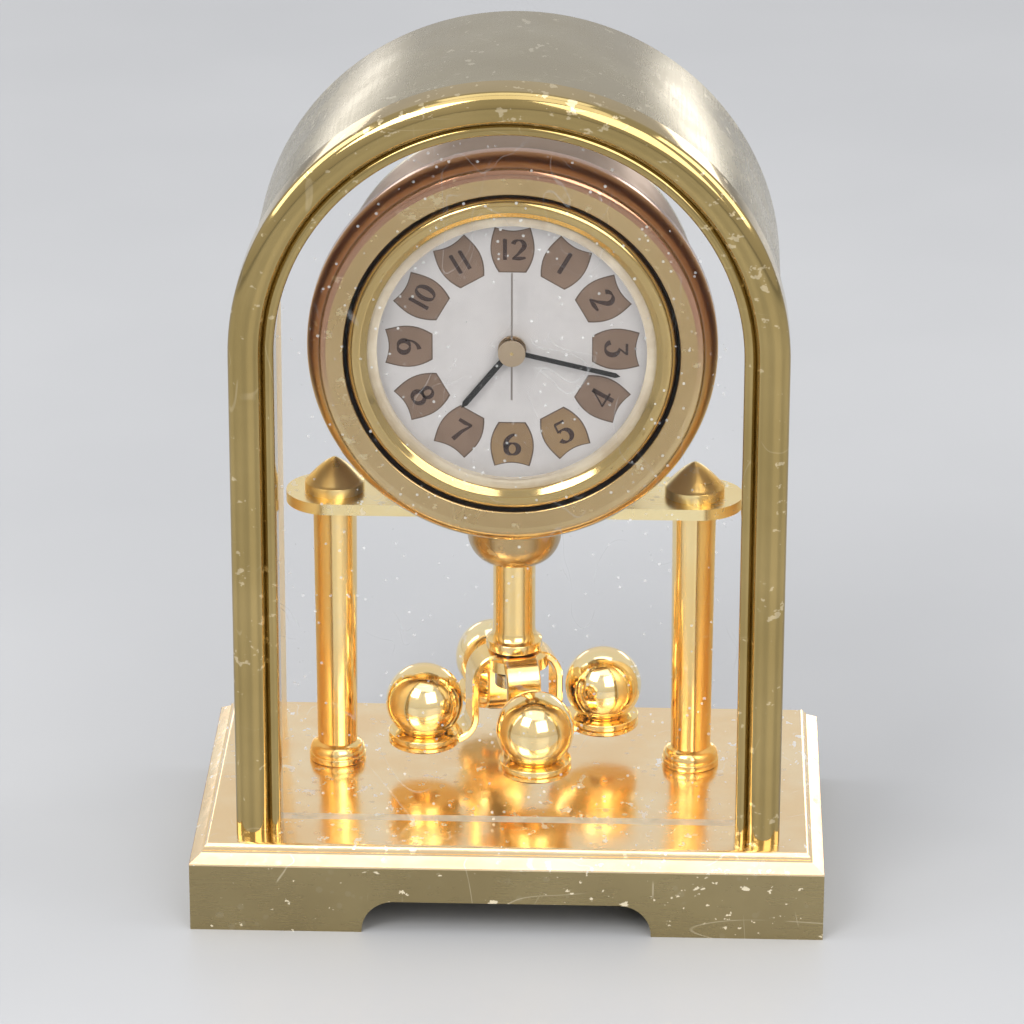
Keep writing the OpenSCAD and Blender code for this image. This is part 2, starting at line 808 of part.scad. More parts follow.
// Knurled knob on the minute wheel's arbor, behind the rear cover
module setting_knob() {
    n = 24;
    r = 2.1;
    color(brass) difference() {
        on_head(setting_at) translate([0, 0, drum_back + 0.8]) {
            cylinder(r = 1.2, h = 0.4);
            translate([0, 0, 0.35]) linear_extrude(1.2) polygon([for (i = [0:2 * n - 1])
                (r - (i % 2) * 0.14) * [cos(180 * i / n), sin(180 * i / n)]]);
        }
        head_tube(arbor_r, drum_back, drum_back + 1.1, 0, setting_at);
    }
}

// ---------- output ----------

base_plinth();
foot_pads();
deck_plate();
pillar_screws();
case_screws();
band_screws();
case_band();
front_moulding();
front_pane();
pillars();
platform_plate();
finial_nuts();
head_housing();
rear_cover();
stem_boss();
pendulum_stem();
stem_stud();
pivot_screw();
pivot_bush();
pendulum_spider();
ball_cups();
pendulum_balls();
ball_rivets();
insert_bezel();
lens();
dial();
insert_case();
grip_ring();
hour_hand();
minute_hand();
second_hand();
main_plate();
hour_wheel();
cannon_pinion();
minute_wheel();
centre_wheel();
seconds_wheel();
third_wheel();
step_wheel();
rotor();
stator();
coil();
train_bridge();
bridge_screws();
circuit_board();
quartz_crystal();
battery();
battery_contact();
battery_hatch();
setting_knob();
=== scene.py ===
import math

import bmesh
import bpy
from mathutils import Matrix, Vector


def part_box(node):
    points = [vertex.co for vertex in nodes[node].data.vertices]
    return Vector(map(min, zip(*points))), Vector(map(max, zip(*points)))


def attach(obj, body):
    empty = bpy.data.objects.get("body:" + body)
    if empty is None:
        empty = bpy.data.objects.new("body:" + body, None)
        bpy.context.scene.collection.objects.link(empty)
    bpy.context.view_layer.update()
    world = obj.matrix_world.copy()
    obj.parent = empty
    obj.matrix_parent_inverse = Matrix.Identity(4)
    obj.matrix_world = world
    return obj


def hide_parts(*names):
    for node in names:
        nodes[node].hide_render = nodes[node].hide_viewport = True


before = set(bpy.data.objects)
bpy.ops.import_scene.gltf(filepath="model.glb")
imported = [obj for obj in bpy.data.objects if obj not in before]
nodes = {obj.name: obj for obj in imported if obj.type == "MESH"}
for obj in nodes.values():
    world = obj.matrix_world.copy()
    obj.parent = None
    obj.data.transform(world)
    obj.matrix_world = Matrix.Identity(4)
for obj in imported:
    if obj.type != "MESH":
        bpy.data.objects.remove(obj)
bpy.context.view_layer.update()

# The looks of a miniature anniversary clock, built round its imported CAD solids.
# Lengths are in metres; profiles are written in millimetres and scaled by MM.

MM = 0.001


def box_mm(node):
    """Lowest and highest corner of a CAD node, in millimetres."""
    low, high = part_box(node)
    return low / MM, high / MM


# ---------------------------------------------------------------- places from the frame

_, plinth_high = box_mm("base_plinth")
_, deck_high = box_mm("deck_plate")
_, band_high = box_mm("case_band")
mould_low, mould_high = box_mm("front_moulding")
plate_low, plate_high = box_mm("platform_plate")
_, pillar_high = box_mm("pillars")
_, nut_high = box_mm("finial_nuts")
head_low, head_high = box_mm("head_housing")
dial_low, dial_high = box_mm("dial")
_, boss_high = box_mm("stem_boss")
stem_low, stem_high = box_mm("pendulum_stem")
_, spider_high = box_mm("pendulum_spider")
cup_low, cup_high = box_mm("ball_cups")
ball_low, ball_high = box_mm("pendulum_balls")
_, second_high = box_mm("second_hand")

DECK_Z = deck_high.z
BLOCK_Z = plinth_high.z
BASE_HALF = plinth_high.x
BASE_HALF_D = plinth_high.y
MOULD_R = mould_high.x
ARCH_Z = mould_high.z - MOULD_R
MOULD_Y = mould_low.y
MOULD_BACK_Y = mould_high.y
BAND_R = band_high.x
BAND_BACK_Y = band_high.y
HEAD_Z = (dial_low.z + dial_high.z) / 2
DIAL_Y = dial_low.y
PILLAR_Y = (plate_low.y + plate_high.y) / 2
PLATE_TOP = plate_high.z
PLATE_BOTTOM = plate_low.z
FOOT_R = 2.48
PILLAR_X = pillar_high.x - FOOT_R
NUT_R = nut_high.x - PILLAR_X
BALL_R = (ball_high.z - ball_low.z) / 2
BALL_Z = (ball_high.z + ball_low.z) / 2
BALL_RING_R = 8.05
PENDULUM_A = math.radians(15)
CAP_R = second_high.x

# Rounding of the edges of the small turned parts
EDGE_R = 0.12


# ---------------------------------------------------------------- material kit


class Surface:
    """One material made of shader nodes, with short calls to add and link them."""

    def __init__(self, name, coat=0.0):
        self.material = bpy.data.materials.new(name)
        self.material.use_nodes = True
        self.tree = self.material.node_tree
        self.tree.nodes.clear()
        self.output = self.node("ShaderNodeOutputMaterial")
        self.shader = self.node("ShaderNodeBsdfPrincipled")
        self.link(self.shader.outputs["BSDF"], self.output.inputs["Surface"])
        self.shader.inputs["Coat Weight"].default_value = coat
        self.coords = self.node("ShaderNodeTexCoord").outputs["Object"]

    def node(self, kind):
        return self.tree.nodes.new(kind)

    def link(self, source, target):
        self.tree.links.new(source, target)

    def mapping(self, scale):
        """Object coordinates stretched by a scale along each axis."""
        node = self.node("ShaderNodeMapping")
        node.inputs["Scale"].default_value = scale
        self.link(self.coords, node.inputs["Vector"])
        return node.outputs["Vector"]

    def noise(self, scale, stretch=(1, 1, 1), detail=3.0, roughness=0.55, distortion=0.0):
        node = self.node("ShaderNodeTexNoise")
        node.inputs["Scale"].default_value = scale
        node.inputs["Detail"].default_value = detail
        node.inputs["Roughness"].default_value = roughness
        node.inputs["Distortion"].default_value = distortion
        self.link(self.mapping(stretch), node.inputs["Vector"])
        return node.outputs["Fac"]

    def cells(self, scale, stretch=(1, 1, 1), jitter=1.0):
        """Distance to the nearest of many scattered points."""
        node = self.node("ShaderNodeTexVoronoi")
        node.inputs["Scale"].default_value = scale
        node.inputs["Randomness"].default_value = jitter
        self.link(self.mapping(stretch), node.inputs["Vector"])
        return node.outputs["Distance"]

    def ramp(self, value, low, high, start=0.0, end=1.0):
        """A value mapped from low..high to start..end, smoothly and held at both ends."""
        node = self.node("ShaderNodeMapRange")
        node.interpolation_type = "SMOOTHSTEP"
        node.inputs["From Min"].default_value = low
        node.inputs["From Max"].default_value = high
        node.inputs["To Min"].default_value = start
        node.inputs["To Max"].default_value = end
        self.link(value, node.inputs["Value"])
        return node.outputs["Result"]

    def math(self, operation, a, b):
        node = self.node("ShaderNodeMath")
        node.operation = operation
        for socket, value in zip(node.inputs, (a, b)):
            if isinstance(value, (int, float)):
                socket.default_value = value
            else:
                self.link(value, socket)
        return node.outputs["Value"]

    def mix(self, factor, a, b):
        """Colour a where factor is 0, colour b where it is 1."""
        node = self.node("ShaderNodeMix")
        node.data_type = "RGBA"
        if isinstance(factor, (int, float)):
            node.inputs[0].default_value = factor
        else:
            self.link(factor, node.inputs[0])
        for socket, value in ((node.inputs[6], a), (node.inputs[7], b)):
            if isinstance(value, tuple):
                socket.default_value = (*value, 1.0)
            else:
                self.link(value, socket)
        return node.outputs[2]

    def bump(self, height, depth_mm, strength=1.0):
        node = self.node("ShaderNodeBump")
        node.inputs["Strength"].default_value = strength
        node.inputs["Distance"].default_value = depth_mm * MM
        self.link(height, node.inputs["Height"])
        self.link(node.outputs["Normal"], self.shader.inputs["Normal"])

    def feed(self, name, value):
        if isinstance(value, tuple):
            self.shader.inputs[name].default_value = (*value, 1.0)
        elif isinstance(value, (int, float)):
            self.shader.inputs[name].default_value = value
        else:
            self.link(value, self.shader.inputs[name])


def flecks(surface, scale, size, stretch=(1, 1, 1)):
    """Sparse small marks: 1 inside a mark and 0 elsewhere."""
    near = surface.ramp(surface.cells(scale, stretch), size, size * 1.6, 1.0, 0.0)
    sparse = surface.ramp(surface.noise(scale * 0.4, detail=1.0), 0.52, 0.6)
    return surface.math("MULTIPLY", near, sparse)


def chips(surface, scale, stretch=(1, 1, 1)):
    """Rare small dings of uneven outline: 1 inside a ding."""
    grain = surface.noise(scale, stretch, detail=3.0, roughness=0.6)
    sparse = surface.ramp(surface.noise(scale * 0.15, detail=1.0), 0.42, 0.6, 0.0, 0.06)
    return surface.ramp(surface.math("ADD", grain, sparse), 0.68, 0.70)


def hairlines(surface, scale, stretch, width=0.02, wander=0.6):
    """Long thin lines that wander, for scratches and lint: 1 on a line."""
    field = surface.noise(scale, stretch, detail=1.5, distortion=wander)
    away = surface.math("ABSOLUTE", surface.math("SUBTRACT", field, 0.5), 0.0)
    line = surface.ramp(away, width * 0.25, width, 1.0, 0.0)
    sparse = surface.ramp(surface.noise(scale * 1.7, detail=1.0), 0.5, 0.62)
    return surface.math("MULTIPLY", line, sparse)


DUST_COLOR = (0.78, 0.74, 0.66)


def metal(name, color, deep, rough, brush=None, brush_amount=0.0, marks=0.0, dust=0.0,
          tone=90.0, wave=0.0, painted_reflection_above=None, metallic=1.0):
    """Metal with slow colour drift, optional brushing, dings, scratches, dust, a wavy surface and
    an optional painted reflection.

    brush stretches the brushed lines along each axis, and brush_amount is their roughness.
    marks and dust run from 0 to 1, tone is the scale of the drift and wave a height in mm.
    The (colour, low, high) argument paints a dark reflection: the metal turns to that colour
    between two heights in mm.
    """
    surface = Surface(name)
    drift = surface.ramp(surface.noise(tone, detail=4.0), 0.32, 0.72)
    base = surface.mix(drift, deep, color)
    # Painted reflection: from a height upwards the colour is mixed towards a darker brown, with
    # an uneven border
    if painted_reflection_above:
        brown, low, high = painted_reflection_above
        split = surface.node("ShaderNodeSeparateXYZ")
        surface.link(surface.coords, split.inputs["Vector"])
        uneven = surface.math("MULTIPLY", surface.math("SUBTRACT", drift, 0.5), 3 * MM)
        level = surface.math("ADD", split.outputs["Z"], uneven)
        base = surface.mix(surface.ramp(level, low * MM, high * MM), base, brown)
    grain = surface.noise(tone * 3, detail=4.0)
    rough_map = surface.ramp(grain, 0.25, 0.8, rough * 0.85, rough * 1.15)
    height = surface.noise(tone * 14, detail=3.0)
    depth = 0.0004 + 0.002 * rough
    if brush:
        lines = surface.noise(4500.0, brush, detail=3.0, roughness=0.6)
        brushed = surface.ramp(lines, 0.3, 0.7, -brush_amount, brush_amount)
        rough_map = surface.math("ADD", rough_map, brushed)
        height = surface.math("ADD", height, surface.math("MULTIPLY", lines, 0.6))
    if wave:
        swell = surface.noise(330.0, detail=2.0)
        height = surface.math("ADD", height, surface.math("MULTIPLY", swell, wave / depth))
    if marks:
        pits = chips(surface, 900.0, (1.0, 0.7, 1.3))
        lines = hairlines(surface, 150.0, (1.0, 1.3, 0.25), 0.0035, 0.1)
        across = hairlines(surface, 130.0, (0.25, 1.0, 1.2), 0.0035, 0.1)
        lines = surface.math("MAXIMUM", lines, across)
        worn = surface.math("MAXIMUM", pits, surface.math("MULTIPLY", lines, 0.4))
        worn = surface.math("MULTIPLY", worn, marks)
        pale = tuple(min(1.0, c * 1.4 + 0.4) for c in color)
        base = surface.mix(worn, base, pale)
        rough_map = surface.math("ADD", rough_map, surface.math("MULTIPLY", worn, 0.25))
        height = surface.math("SUBTRACT", height, surface.math("MULTIPLY", worn, 3.0))
    if dust:
        specks = flecks(surface, 900.0, 0.2)
        film = surface.ramp(surface.noise(60.0, detail=5.0), 0.45, 0.8, 0.0, 0.35)
        soil = surface.math("MULTIPLY", surface.math("MAXIMUM", specks, film), dust)
        base = surface.mix(soil, base, DUST_COLOR)
        rough_map = surface.math("ADD", rough_map, surface.math("MULTIPLY", soil, 0.45))
    surface.feed("Base Color", base)
    surface.feed("Metallic", metallic)
    surface.feed("Roughness", rough_map)
    surface.bump(height, depth)
    return surface.material


def plain_solid(name, color, deep, rough, scale=400.0, depth=0.01, metallic=0.0):
    """Moulded plastic, lacquer, board or felt: a mottled colour with a fine relief."""
    surface = Surface(name)
    grain = surface.noise(scale, detail=5.0)
    surface.feed("Base Color", surface.mix(surface.ramp(grain, 0.35, 0.7), deep, color))
    surface.feed("Metallic", metallic)
    surface.feed("Roughness", surface.ramp(grain, 0.3, 0.75, rough * 0.8, min(1.0, rough * 1.25)))
    surface.bump(grain, depth)
    return surface.material


def glass(name, tint, dust, coating):
    """Clear sheet with dust and lint; coating is how much of bare glass's reflection is left."""
    surface = Surface(name)
    specks = flecks(surface, 1100.0, 0.11)
    lint = surface.math("MULTIPLY", hairlines(surface, 90.0, (1.0, 1.0, 0.7), 0.0022), 0.4)
    soil = surface.math("MULTIPLY", surface.math("MAXIMUM", specks, lint), dust)
    fresnel = surface.node("ShaderNodeFresnel")
    fresnel.inputs["IOR"].default_value = 1.45
    mirror = surface.math("MULTIPLY", fresnel.outputs["Fac"], coating)
    surface.feed("Base Color", tint)
    surface.feed("Metallic", 1.0)
    surface.feed("Roughness", surface.ramp(soil, 0.0, 0.3, 0.02, 0.7))
    surface.feed("Alpha", surface.math("MAXIMUM", soil, mirror))
    return surface.material


def lens_rim_material():
    """Moulded edge of the clear lens, painted cream: a painted glow for the light the edge
    gathers and the bezel gold it refracts.
    """
    surface = Surface("lens_rim")
    cloud = surface.noise(260.0, detail=4.0)
    cream = surface.mix(surface.ramp(cloud, 0.3, 0.7), (0.72, 0.60, 0.42), (0.86, 0.77, 0.60))
    surface.feed("Base Color", cream)
    surface.feed("Roughness", surface.ramp(cloud, 0.3, 0.7, 0.10, 0.22))
    surface.feed("Alpha", surface.ramp(cloud, 0.2, 0.8, 0.4, 0.55))
    surface.bump(cloud, 0.004)
    return surface.material


def pane_edge_material():
    """Ground edge of the pane, with a painted glow: a pale colour and a weak emission stand in
    for the light that runs inside the sheet.
    """
    surface = Surface("pane_edge")
    grain = surface.noise(900.0, detail=4.0)
    tint = surface.mix(surface.ramp(grain, 0.3, 0.7), (0.70, 0.72, 0.69), (0.86, 0.87, 0.84))
    surface.feed("Base Color", tint)
    surface.feed("Roughness", surface.ramp(grain, 0.3, 0.7, 0.4, 0.6))
    # Painted glow: the edge emits light though it is no lamp
    surface.feed("Emission Color", tint)
    surface.feed("Emission Strength", 0.6)
    surface.feed("Alpha", 0.6)
    return surface.material


def dial_material():
    """Pearl white lacquer with a soft cloudiness, under a thin clear coat."""
    surface = Surface("dial_white", coat=0.25)
    pearl = surface.noise(500.0, detail=6.0, roughness=0.7)
    cloud = surface.noise(70.0, detail=2.0)
    base = surface.mix(surface.ramp(pearl, 0.3, 0.7), (0.62, 0.605, 0.61), (0.68, 0.665, 0.67))
    base = surface.mix(surface.ramp(cloud, 0.4, 0.7, 0.0, 0.5), base, (0.71, 0.70, 0.715))
    surface.feed("Base Color", base)
    surface.feed("Roughness", surface.ramp(pearl, 0.3, 0.8, 0.32, 0.5))
    surface.bump(pearl, 0.003)
    return surface.material


# Each metal is given its colour, the deeper colour it drifts to and its roughness
mat_plinth = metal(
    "plinth_brass", (0.37, 0.30, 0.155), (0.32, 0.255, 0.13), 0.30,
    brush=(0.04, 1.0, 1.0), brush_amount=0.03, marks=1.0, dust=0.06,
)
mat_deck = metal(
    "polished_deck", (0.98, 0.80, 0.52), (0.95, 0.70, 0.40), 0.17,
    marks=0.8, dust=0.4, tone=140.0, wave=0.03,
)
mat_band = metal(
    "satin_case", (0.42, 0.38, 0.28), (0.37, 0.33, 0.24), 0.27,
    brush=(1.0, 0.03, 1.0), brush_amount=0.02, marks=0.25, dust=0.1,
)
# The band's inner side is the same satin brass painted much lighter, painted light for the bounce
# inside the arch
mat_band_inside_painted_light = metal(
    "satin_case_inside_painted_light", (0.98, 0.79, 0.48), (0.93, 0.70, 0.38), 0.42, marks=0.15,
)
mat_mould = metal("polished_moulding", (0.44, 0.33, 0.14), (0.37, 0.275, 0.11), 0.085, marks=0.4)
mat_warm = metal(
    "warm_brass", (0.97, 0.76, 0.38), (0.95, 0.68, 0.28), 0.17,
    marks=0.25, dust=0.15, wave=0.012,
)
mat_plate = metal(
    "plate_brass", (1.0, 0.86, 0.50), (0.98, 0.78, 0.38), 0.24,
    marks=0.3, dust=0.3, wave=0.01,
)
mat_nut = metal(
    "nut_brass", (1.0, 0.84, 0.44), (0.96, 0.74, 0.32), 0.30,
    marks=0.3, dust=0.3, wave=0.01, metallic=0.75,
)
mat_ring = metal("satin_ring", (0.56, 0.41, 0.21), (0.49, 0.35, 0.17), 0.25, marks=0.2)
# The upper part of the ring's curved edge is painted brown, a painted dark reflection of the
# shaded inside of the arch
mat_ring_edge = metal(
    "ring_edge", (0.62, 0.47, 0.25), (0.54, 0.40, 0.20), 0.14, marks=0.2,
    painted_reflection_above=((0.42, 0.235, 0.15), HEAD_Z - 6.0, HEAD_Z + 3.0),
)
# The drum is the ring's brass painted much darker, a painted shade for the shadow behind the ring
mat_drum_painted_shade = metal("drum_painted_shade", (0.30, 0.20, 0.13), (0.24, 0.155, 0.10), 0.35)
mat_bezel = metal("bezel_brass", (0.58, 0.43, 0.19), (0.50, 0.36, 0.145), 0.09)
mat_ball = metal(
    "ball_brass", (1.0, 0.85, 0.50), (0.98, 0.74, 0.36), 0.11,
    marks=0.3, tone=160.0, wave=0.012,
)
mat_movement = metal(
    "movement_brass", (0.76, 0.60, 0.30), (0.64, 0.48, 0.22), 0.28,
    brush=(1.0, 1.0, 0.06), brush_amount=0.03,
)
mat_knob = metal("knob_brass", (0.80, 0.62, 0.30), (0.66, 0.50, 0.22), 0.24, marks=0.2)
mat_screw = metal("steel_screws", (0.60, 0.60, 0.60), (0.48, 0.48, 0.47), 0.28, marks=0.2)
mat_shell = metal(
    "steel_shell", (0.66, 0.66, 0.65), (0.55, 0.55, 0.54), 0.24,
    brush=(1.0, 1.0, 0.08), brush_amount=0.03,
)
mat_iron = metal("stator_iron", (0.42, 0.42, 0.43), (0.34, 0.34, 0.35), 0.42)
mat_cell = metal("battery_steel", (0.74, 0.74, 0.75), (0.64, 0.64, 0.65), 0.2, marks=0.2)
mat_second = metal("second_hand_metal", (0.38, 0.34, 0.31), (0.31, 0.27, 0.25), 0.35)
mat_cap = metal("centre_cap_tan", (0.62, 0.49, 0.34), (0.52, 0.40, 0.27), 0.32)
mat_magnet = plain_solid(
    "rotor_magnet", (0.12, 0.12, 0.13), (0.07, 0.07, 0.08), 0.45, metallic=0.6,
)
mat_black = plain_solid(
    "black_hands", (0.012, 0.012, 0.012), (0.006, 0.006, 0.006), 0.5, depth=0.003,
)
mat_felt = plain_solid(
    "felt", (0.05, 0.09, 0.06), (0.02, 0.04, 0.03), 0.95, scale=2600.0, depth=0.12,
)
mat_nylon = plain_solid("nylon", (0.82, 0.82, 0.76), (0.74, 0.74, 0.68), 0.45)
mat_board = plain_solid("board_green", (0.05, 0.22, 0.11), (0.03, 0.15, 0.07), 0.4)
mat_copper = metal(
    "copper_coil", (0.66, 0.27, 0.12), (0.5, 0.18, 0.08), 0.3,
    brush=(1.0, 1.0, 9.0), brush_amount=0.08,
)
mat_pane = glass("pane_glass", (0.93, 0.95, 0.95), dust=0.45, coating=0.25)
mat_lens = glass("lens_clear", (0.96, 0.97, 0.98), dust=0.10, coating=0.2)
mat_lens_rim_painted_light = lens_rim_material()
mat_pane_edge_painted_glow = pane_edge_material()
mat_cartouche = plain_solid(
    "cartouche_taupe", (0.27, 0.185, 0.135), (0.23, 0.155, 0.11), 0.5, depth=0.004,
)
# The panels at 5 and 6 are coloured gold, a painted warm reflection
mat_cartouche_painted_reflection = plain_solid(
    "cartouche_painted_reflection", (0.36, 0.24, 0.12), (0.29, 0.19, 0.10), 0.45, depth=0.004,
)
mat_outline = plain_solid(
    "cartouche_outline", (0.14, 0.095, 0.07), (0.11, 0.075, 0.055), 0.5, depth=0.004,
)
mat_numeral = plain_solid(
    "numeral_brown", (0.055, 0.028, 0.022), (0.04, 0.02, 0.016), 0.45, depth=0.003,
)
mat_dial = dial_material()

# ---------------------------------------------------------------- mesh kit


def piece(name, body, slot, material, verts, faces, replaced=(), crease=math.radians(32)):
    """A smooth-shaded mesh in the shared frame that rides on a body; verts are in millimetres."""
    mesh = bpy.data.meshes.new(name)
    mesh.from_pydata([Vector(v) * MM for v in verts], [], faces)
    work = bmesh.new()
    work.from_mesh(mesh)
    bmesh.ops.remove_doubles(work, verts=work.verts, dist=1e-7)
    bmesh.ops.dissolve_degenerate(work, edges=work.edges, dist=1e-7)
    bmesh.ops.recalc_face_normals(work, faces=work.faces)
    work.to_mesh(mesh)
    work.free()
    mesh.materials.append(material)
    mesh.shade_smooth()
    mesh.set_sharp_from_angle(angle=crease)
    obj = bpy.data.objects.new(name, mesh)
    bpy.context.scene.collection.objects.link(obj)
    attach(obj, body)
    if replaced:
        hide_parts(*replaced)
    return obj


def arc(center, rx, ry, start, end, steps):
    """Points of an arc in degrees about a centre, as (across, along)."""
    return [
        (
            center[0] + rx * math.cos(math.radians(start + (end - start) * i / steps)),
            center[1] + ry * math.sin(math.radians(start + (end - start) * i / steps)),
        )
        for i in range(steps + 1)
    ]


def rounded(points, radius, steps=3, closed=True):
    """The outline with each corner turned into a small curve."""
    out = []
    count = len(points)
    for i, corner in enumerate(points):
        if not closed and i in (0, count - 1):
            out.append(tuple(corner))
            continue
        here = Vector(corner)
        before = Vector(points[i - 1]) - here
        after = Vector(points[(i + 1) % count]) - here
        reach = min(radius, before.length * 0.45, after.length * 0.45)
        a = here + before.normalized() * reach
        b = here + after.normalized() * reach
        for k in range(steps + 1):
            t = k / steps
            out.append(tuple(a * (1 - t) ** 2 + here * 2 * t * (1 - t) + b * t * t))
    return out


def lathe(profile, segments, place):
    """Turns (radius, height) points about an axis; place maps (x, y, height) to the frame."""
    verts = []
    faces = []
    rows = len(profile)
    for k in range(segments):
        angle = 2 * math.pi * k / segments
        for radius, height in profile:
            verts.append(place(radius * math.cos(angle), radius * math.sin(angle), height))
    for k in range(segments):
        following = (k + 1) % segments
        for i in range(rows - 1):
            here = k * rows + i
            there = following * rows + i
            faces.append((here, here + 1, there + 1, there))
    return verts, faces


def upright(x, y):
    """Places a lathe about a standing axis."""
    return lambda a, b, h: (x + a, y + b, h)


def on_head(a, b, h):
    """Places a lathe about the head's axis, which runs front to back."""
    return (a, h, HEAD_Z + b)


def head_radius(point):
    """Distance from the head's axis, in millimetres."""
    return math.hypot(point.x, point.z - HEAD_Z)


def merged(parts):
    """Several (verts, faces) as one."""
    verts = []
    faces = []
    for some_verts, some_faces in parts:
        start = len(verts)
        verts.extend(some_verts)
        faces.extend(tuple(start + i for i in face) for face in some_faces)
    return verts, faces


def closed_profile(points):
    return list(points) + [points[0]]


def sweep_faces(stations, n):
    """Faces that join the same outline of n points at each station, with both ends capped."""
    faces = []
    for k in range(stations - 1):
        for i in range(n):
            j = (i + 1) % n
            faces.append((k * n + i, k * n + j, (k + 1) * n + j, (k + 1) * n + i))
    faces.append(tuple(range(n)))
    faces.append(tuple((stations - 1) * n + i for i in range(n)))
    return faces


def arch_sweep(section, arch_steps=96):
    """Sweeps a closed (radius, depth) section up one leg, round the arch and down the other."""
    stations = [(DECK_Z, 180.0)]
    stations += [(ARCH_Z, 180.0 - 180.0 * k / arch_steps) for k in range(arch_steps + 1)]
    stations += [(DECK_Z, 0.0)]
    verts = []
    for z, angle in stations:
        c = math.cos(math.radians(angle))
        s = math.sin(math.radians(angle))
        for radius, depth in section:
            verts.append((radius * c, depth, z + radius * s))
    return verts, sweep_faces(len(stations), len(section))


def paint(mesh, material, wanted):
    """Another material on the faces that wanted picks by the face and its middle in mm."""
    mesh.materials.append(material)
    index = len(mesh.materials) - 1
    for face in mesh.polygons:
        if wanted(face, face.center / MM):
            face.material_index = index


# ---------------------------------------------------------------- case

BEAD_W = 2.8
BEAD_H = 1.0
BEAD_Y = MOULD_Y + BEAD_H
LIP_Y = MOULD_Y + 0.8
LIP_H = 0.32
LIP_GAP = 0.1
MOULD_IN_R = 19.4
LIP_W = MOULD_R - BEAD_W - LIP_GAP - MOULD_IN_R
moulding_section = (
    [(MOULD_IN_R, MOULD_BACK_Y), (MOULD_R, MOULD_BACK_Y)]
    + arc((MOULD_R - BEAD_W / 2, BEAD_Y), BEAD_W / 2, BEAD_H, 0, -180, 30)
    + arc((MOULD_IN_R + LIP_W / 2, LIP_Y + LIP_H), LIP_W / 2, LIP_H, 0, -180, 30)
)
piece("front_moulding_smooth", "case", "polished_moulding", mat_mould,
      *arch_sweep(moulding_section), replaced=["front_moulding"])

BAND_T = 1.9
BAND_EDGE_R = 0.22
BAND_IN_R = BAND_R - BAND_T
band_corners = [
    (BAND_IN_R, MOULD_BACK_Y), (BAND_R, MOULD_BACK_Y),
    (BAND_R, BAND_BACK_Y), (BAND_IN_R, BAND_BACK_Y),
]
band = piece("case_band_smooth", "case", "satin_case", mat_band,
             *arch_sweep(rounded(band_corners, BAND_EDGE_R, 4)), replaced=["case_band"])


def inside_band(face, middle):
    """The band's inner side, up to its rear edge."""
    radius = math.hypot(middle.x, max(0.0, middle.z - ARCH_Z))
    return radius < BAND_IN_R + 0.3 and middle.y < BAND_BACK_Y - 0.3


# The inner side of the band gets the lighter brass of the painted light
paint(band.data, mat_band_inside_painted_light, inside_band)


# ---------------------------------------------------------------- deck


def deck_profile():
    """Half outline of the deck moulding as (inset from the block edge, height)."""
    slope_in = 1.0
    slope_z = BLOCK_Z + 0.8
    fillet_in = 1.15
    fillet_z = BLOCK_Z + 0.98
    cove_in = 1.75
    cove_r = 0.6
    cove = arc((0, fillet_z), cove_r, DECK_Z - fillet_z, 15, 90, 8)
    return (
        [(0, BLOCK_Z), (0, BLOCK_Z + 0.15)]
        + arc((-0.1, BLOCK_Z + 0.1), 0.1, 0.08, 10, 60, 2)
        + [(-slope_in, slope_z), (-slope_in, fillet_z), (-fillet_in, fillet_z)]
        + [(across - cove_in, up) for across, up in cove]
    )


def mitred_deck():
    """The moulded deck as rings of four mitred corners, closed by a flat top."""
    verts = []
    rows = deck_profile()
    for inset, z in rows:
        x = BASE_HALF + inset
        y = BASE_HALF_D + inset
        verts += [(-x, -y, z), (x, -y, z), (x, y, z), (-x, y, z)]
    return verts, sweep_faces(len(rows), 4)


piece("deck_smooth", "case", "polished_deck", mat_deck, *mitred_deck(), replaced=["deck_plate"],
      crease=math.radians(24))

# ---------------------------------------------------------------- pillars, nuts, boss and stem

PILLAR_LOW_R = 1.75
PILLAR_TOP_R = 1.9
PILLAR_SWELL_Z = DECK_Z + 13.0


def pillar_profile():
    """A rounded foot collar, a cove and a shaft that widens a little towards the top."""
    cove = arc((PILLAR_LOW_R + 0.05, DECK_Z + 0.65), 0.62, 1.0, 10, 80, 8)
    return (
        [(0, DECK_Z), (FOOT_R - 0.1, DECK_Z)]
        + arc((FOOT_R - EDGE_R, DECK_Z + EDGE_R), EDGE_R, EDGE_R, -80, 0, 3)
        + arc((FOOT_R - EDGE_R, DECK_Z + 0.53), EDGE_R, EDGE_R, 0, 90, 3)
        + cove
        + [(PILLAR_LOW_R, DECK_Z + 1.75)]
        + [(PILLAR_LOW_R + 0.075, PILLAR_SWELL_Z), (PILLAR_TOP_R, PLATE_BOTTOM - 0.2)]
        + [(PILLAR_TOP_R - 0.15, PLATE_BOTTOM), (0, PLATE_BOTTOM)]
    )


def nut_profile():
    """A short straight side under a high dome that comes to a soft point."""
    side_h = 0.85
    dome_r = NUT_R - 0.1
    dome_h = nut_high.z - PLATE_TOP - side_h
    steps = 16
    dome = []
    for i in range(1, steps + 1):
        t = i / steps
        lift = (t + math.sin(math.pi / 2 * t)) / 2
        dome.append((dome_r * (1 - t), PLATE_TOP + side_h + dome_h * lift))
    edge = arc((NUT_R - EDGE_R, PLATE_TOP + side_h - EDGE_R), EDGE_R, EDGE_R, 0, 80, 3)
    return [(0, PLATE_TOP), (NUT_R, PLATE_TOP)] + edge + dome


both = [upright(-PILLAR_X, PILLAR_Y), upright(PILLAR_X, PILLAR_Y)]
piece("pillars_smooth", "case", "warm_brass", mat_warm,
      *merged([lathe(pillar_profile(), 72, p) for p in both]), replaced=["pillars"])
piece("finial_nuts_smooth", "case", "warm_brass", mat_nut,
      *merged([lathe(nut_profile(), 72, p) for p in both]), replaced=["finial_nuts"])

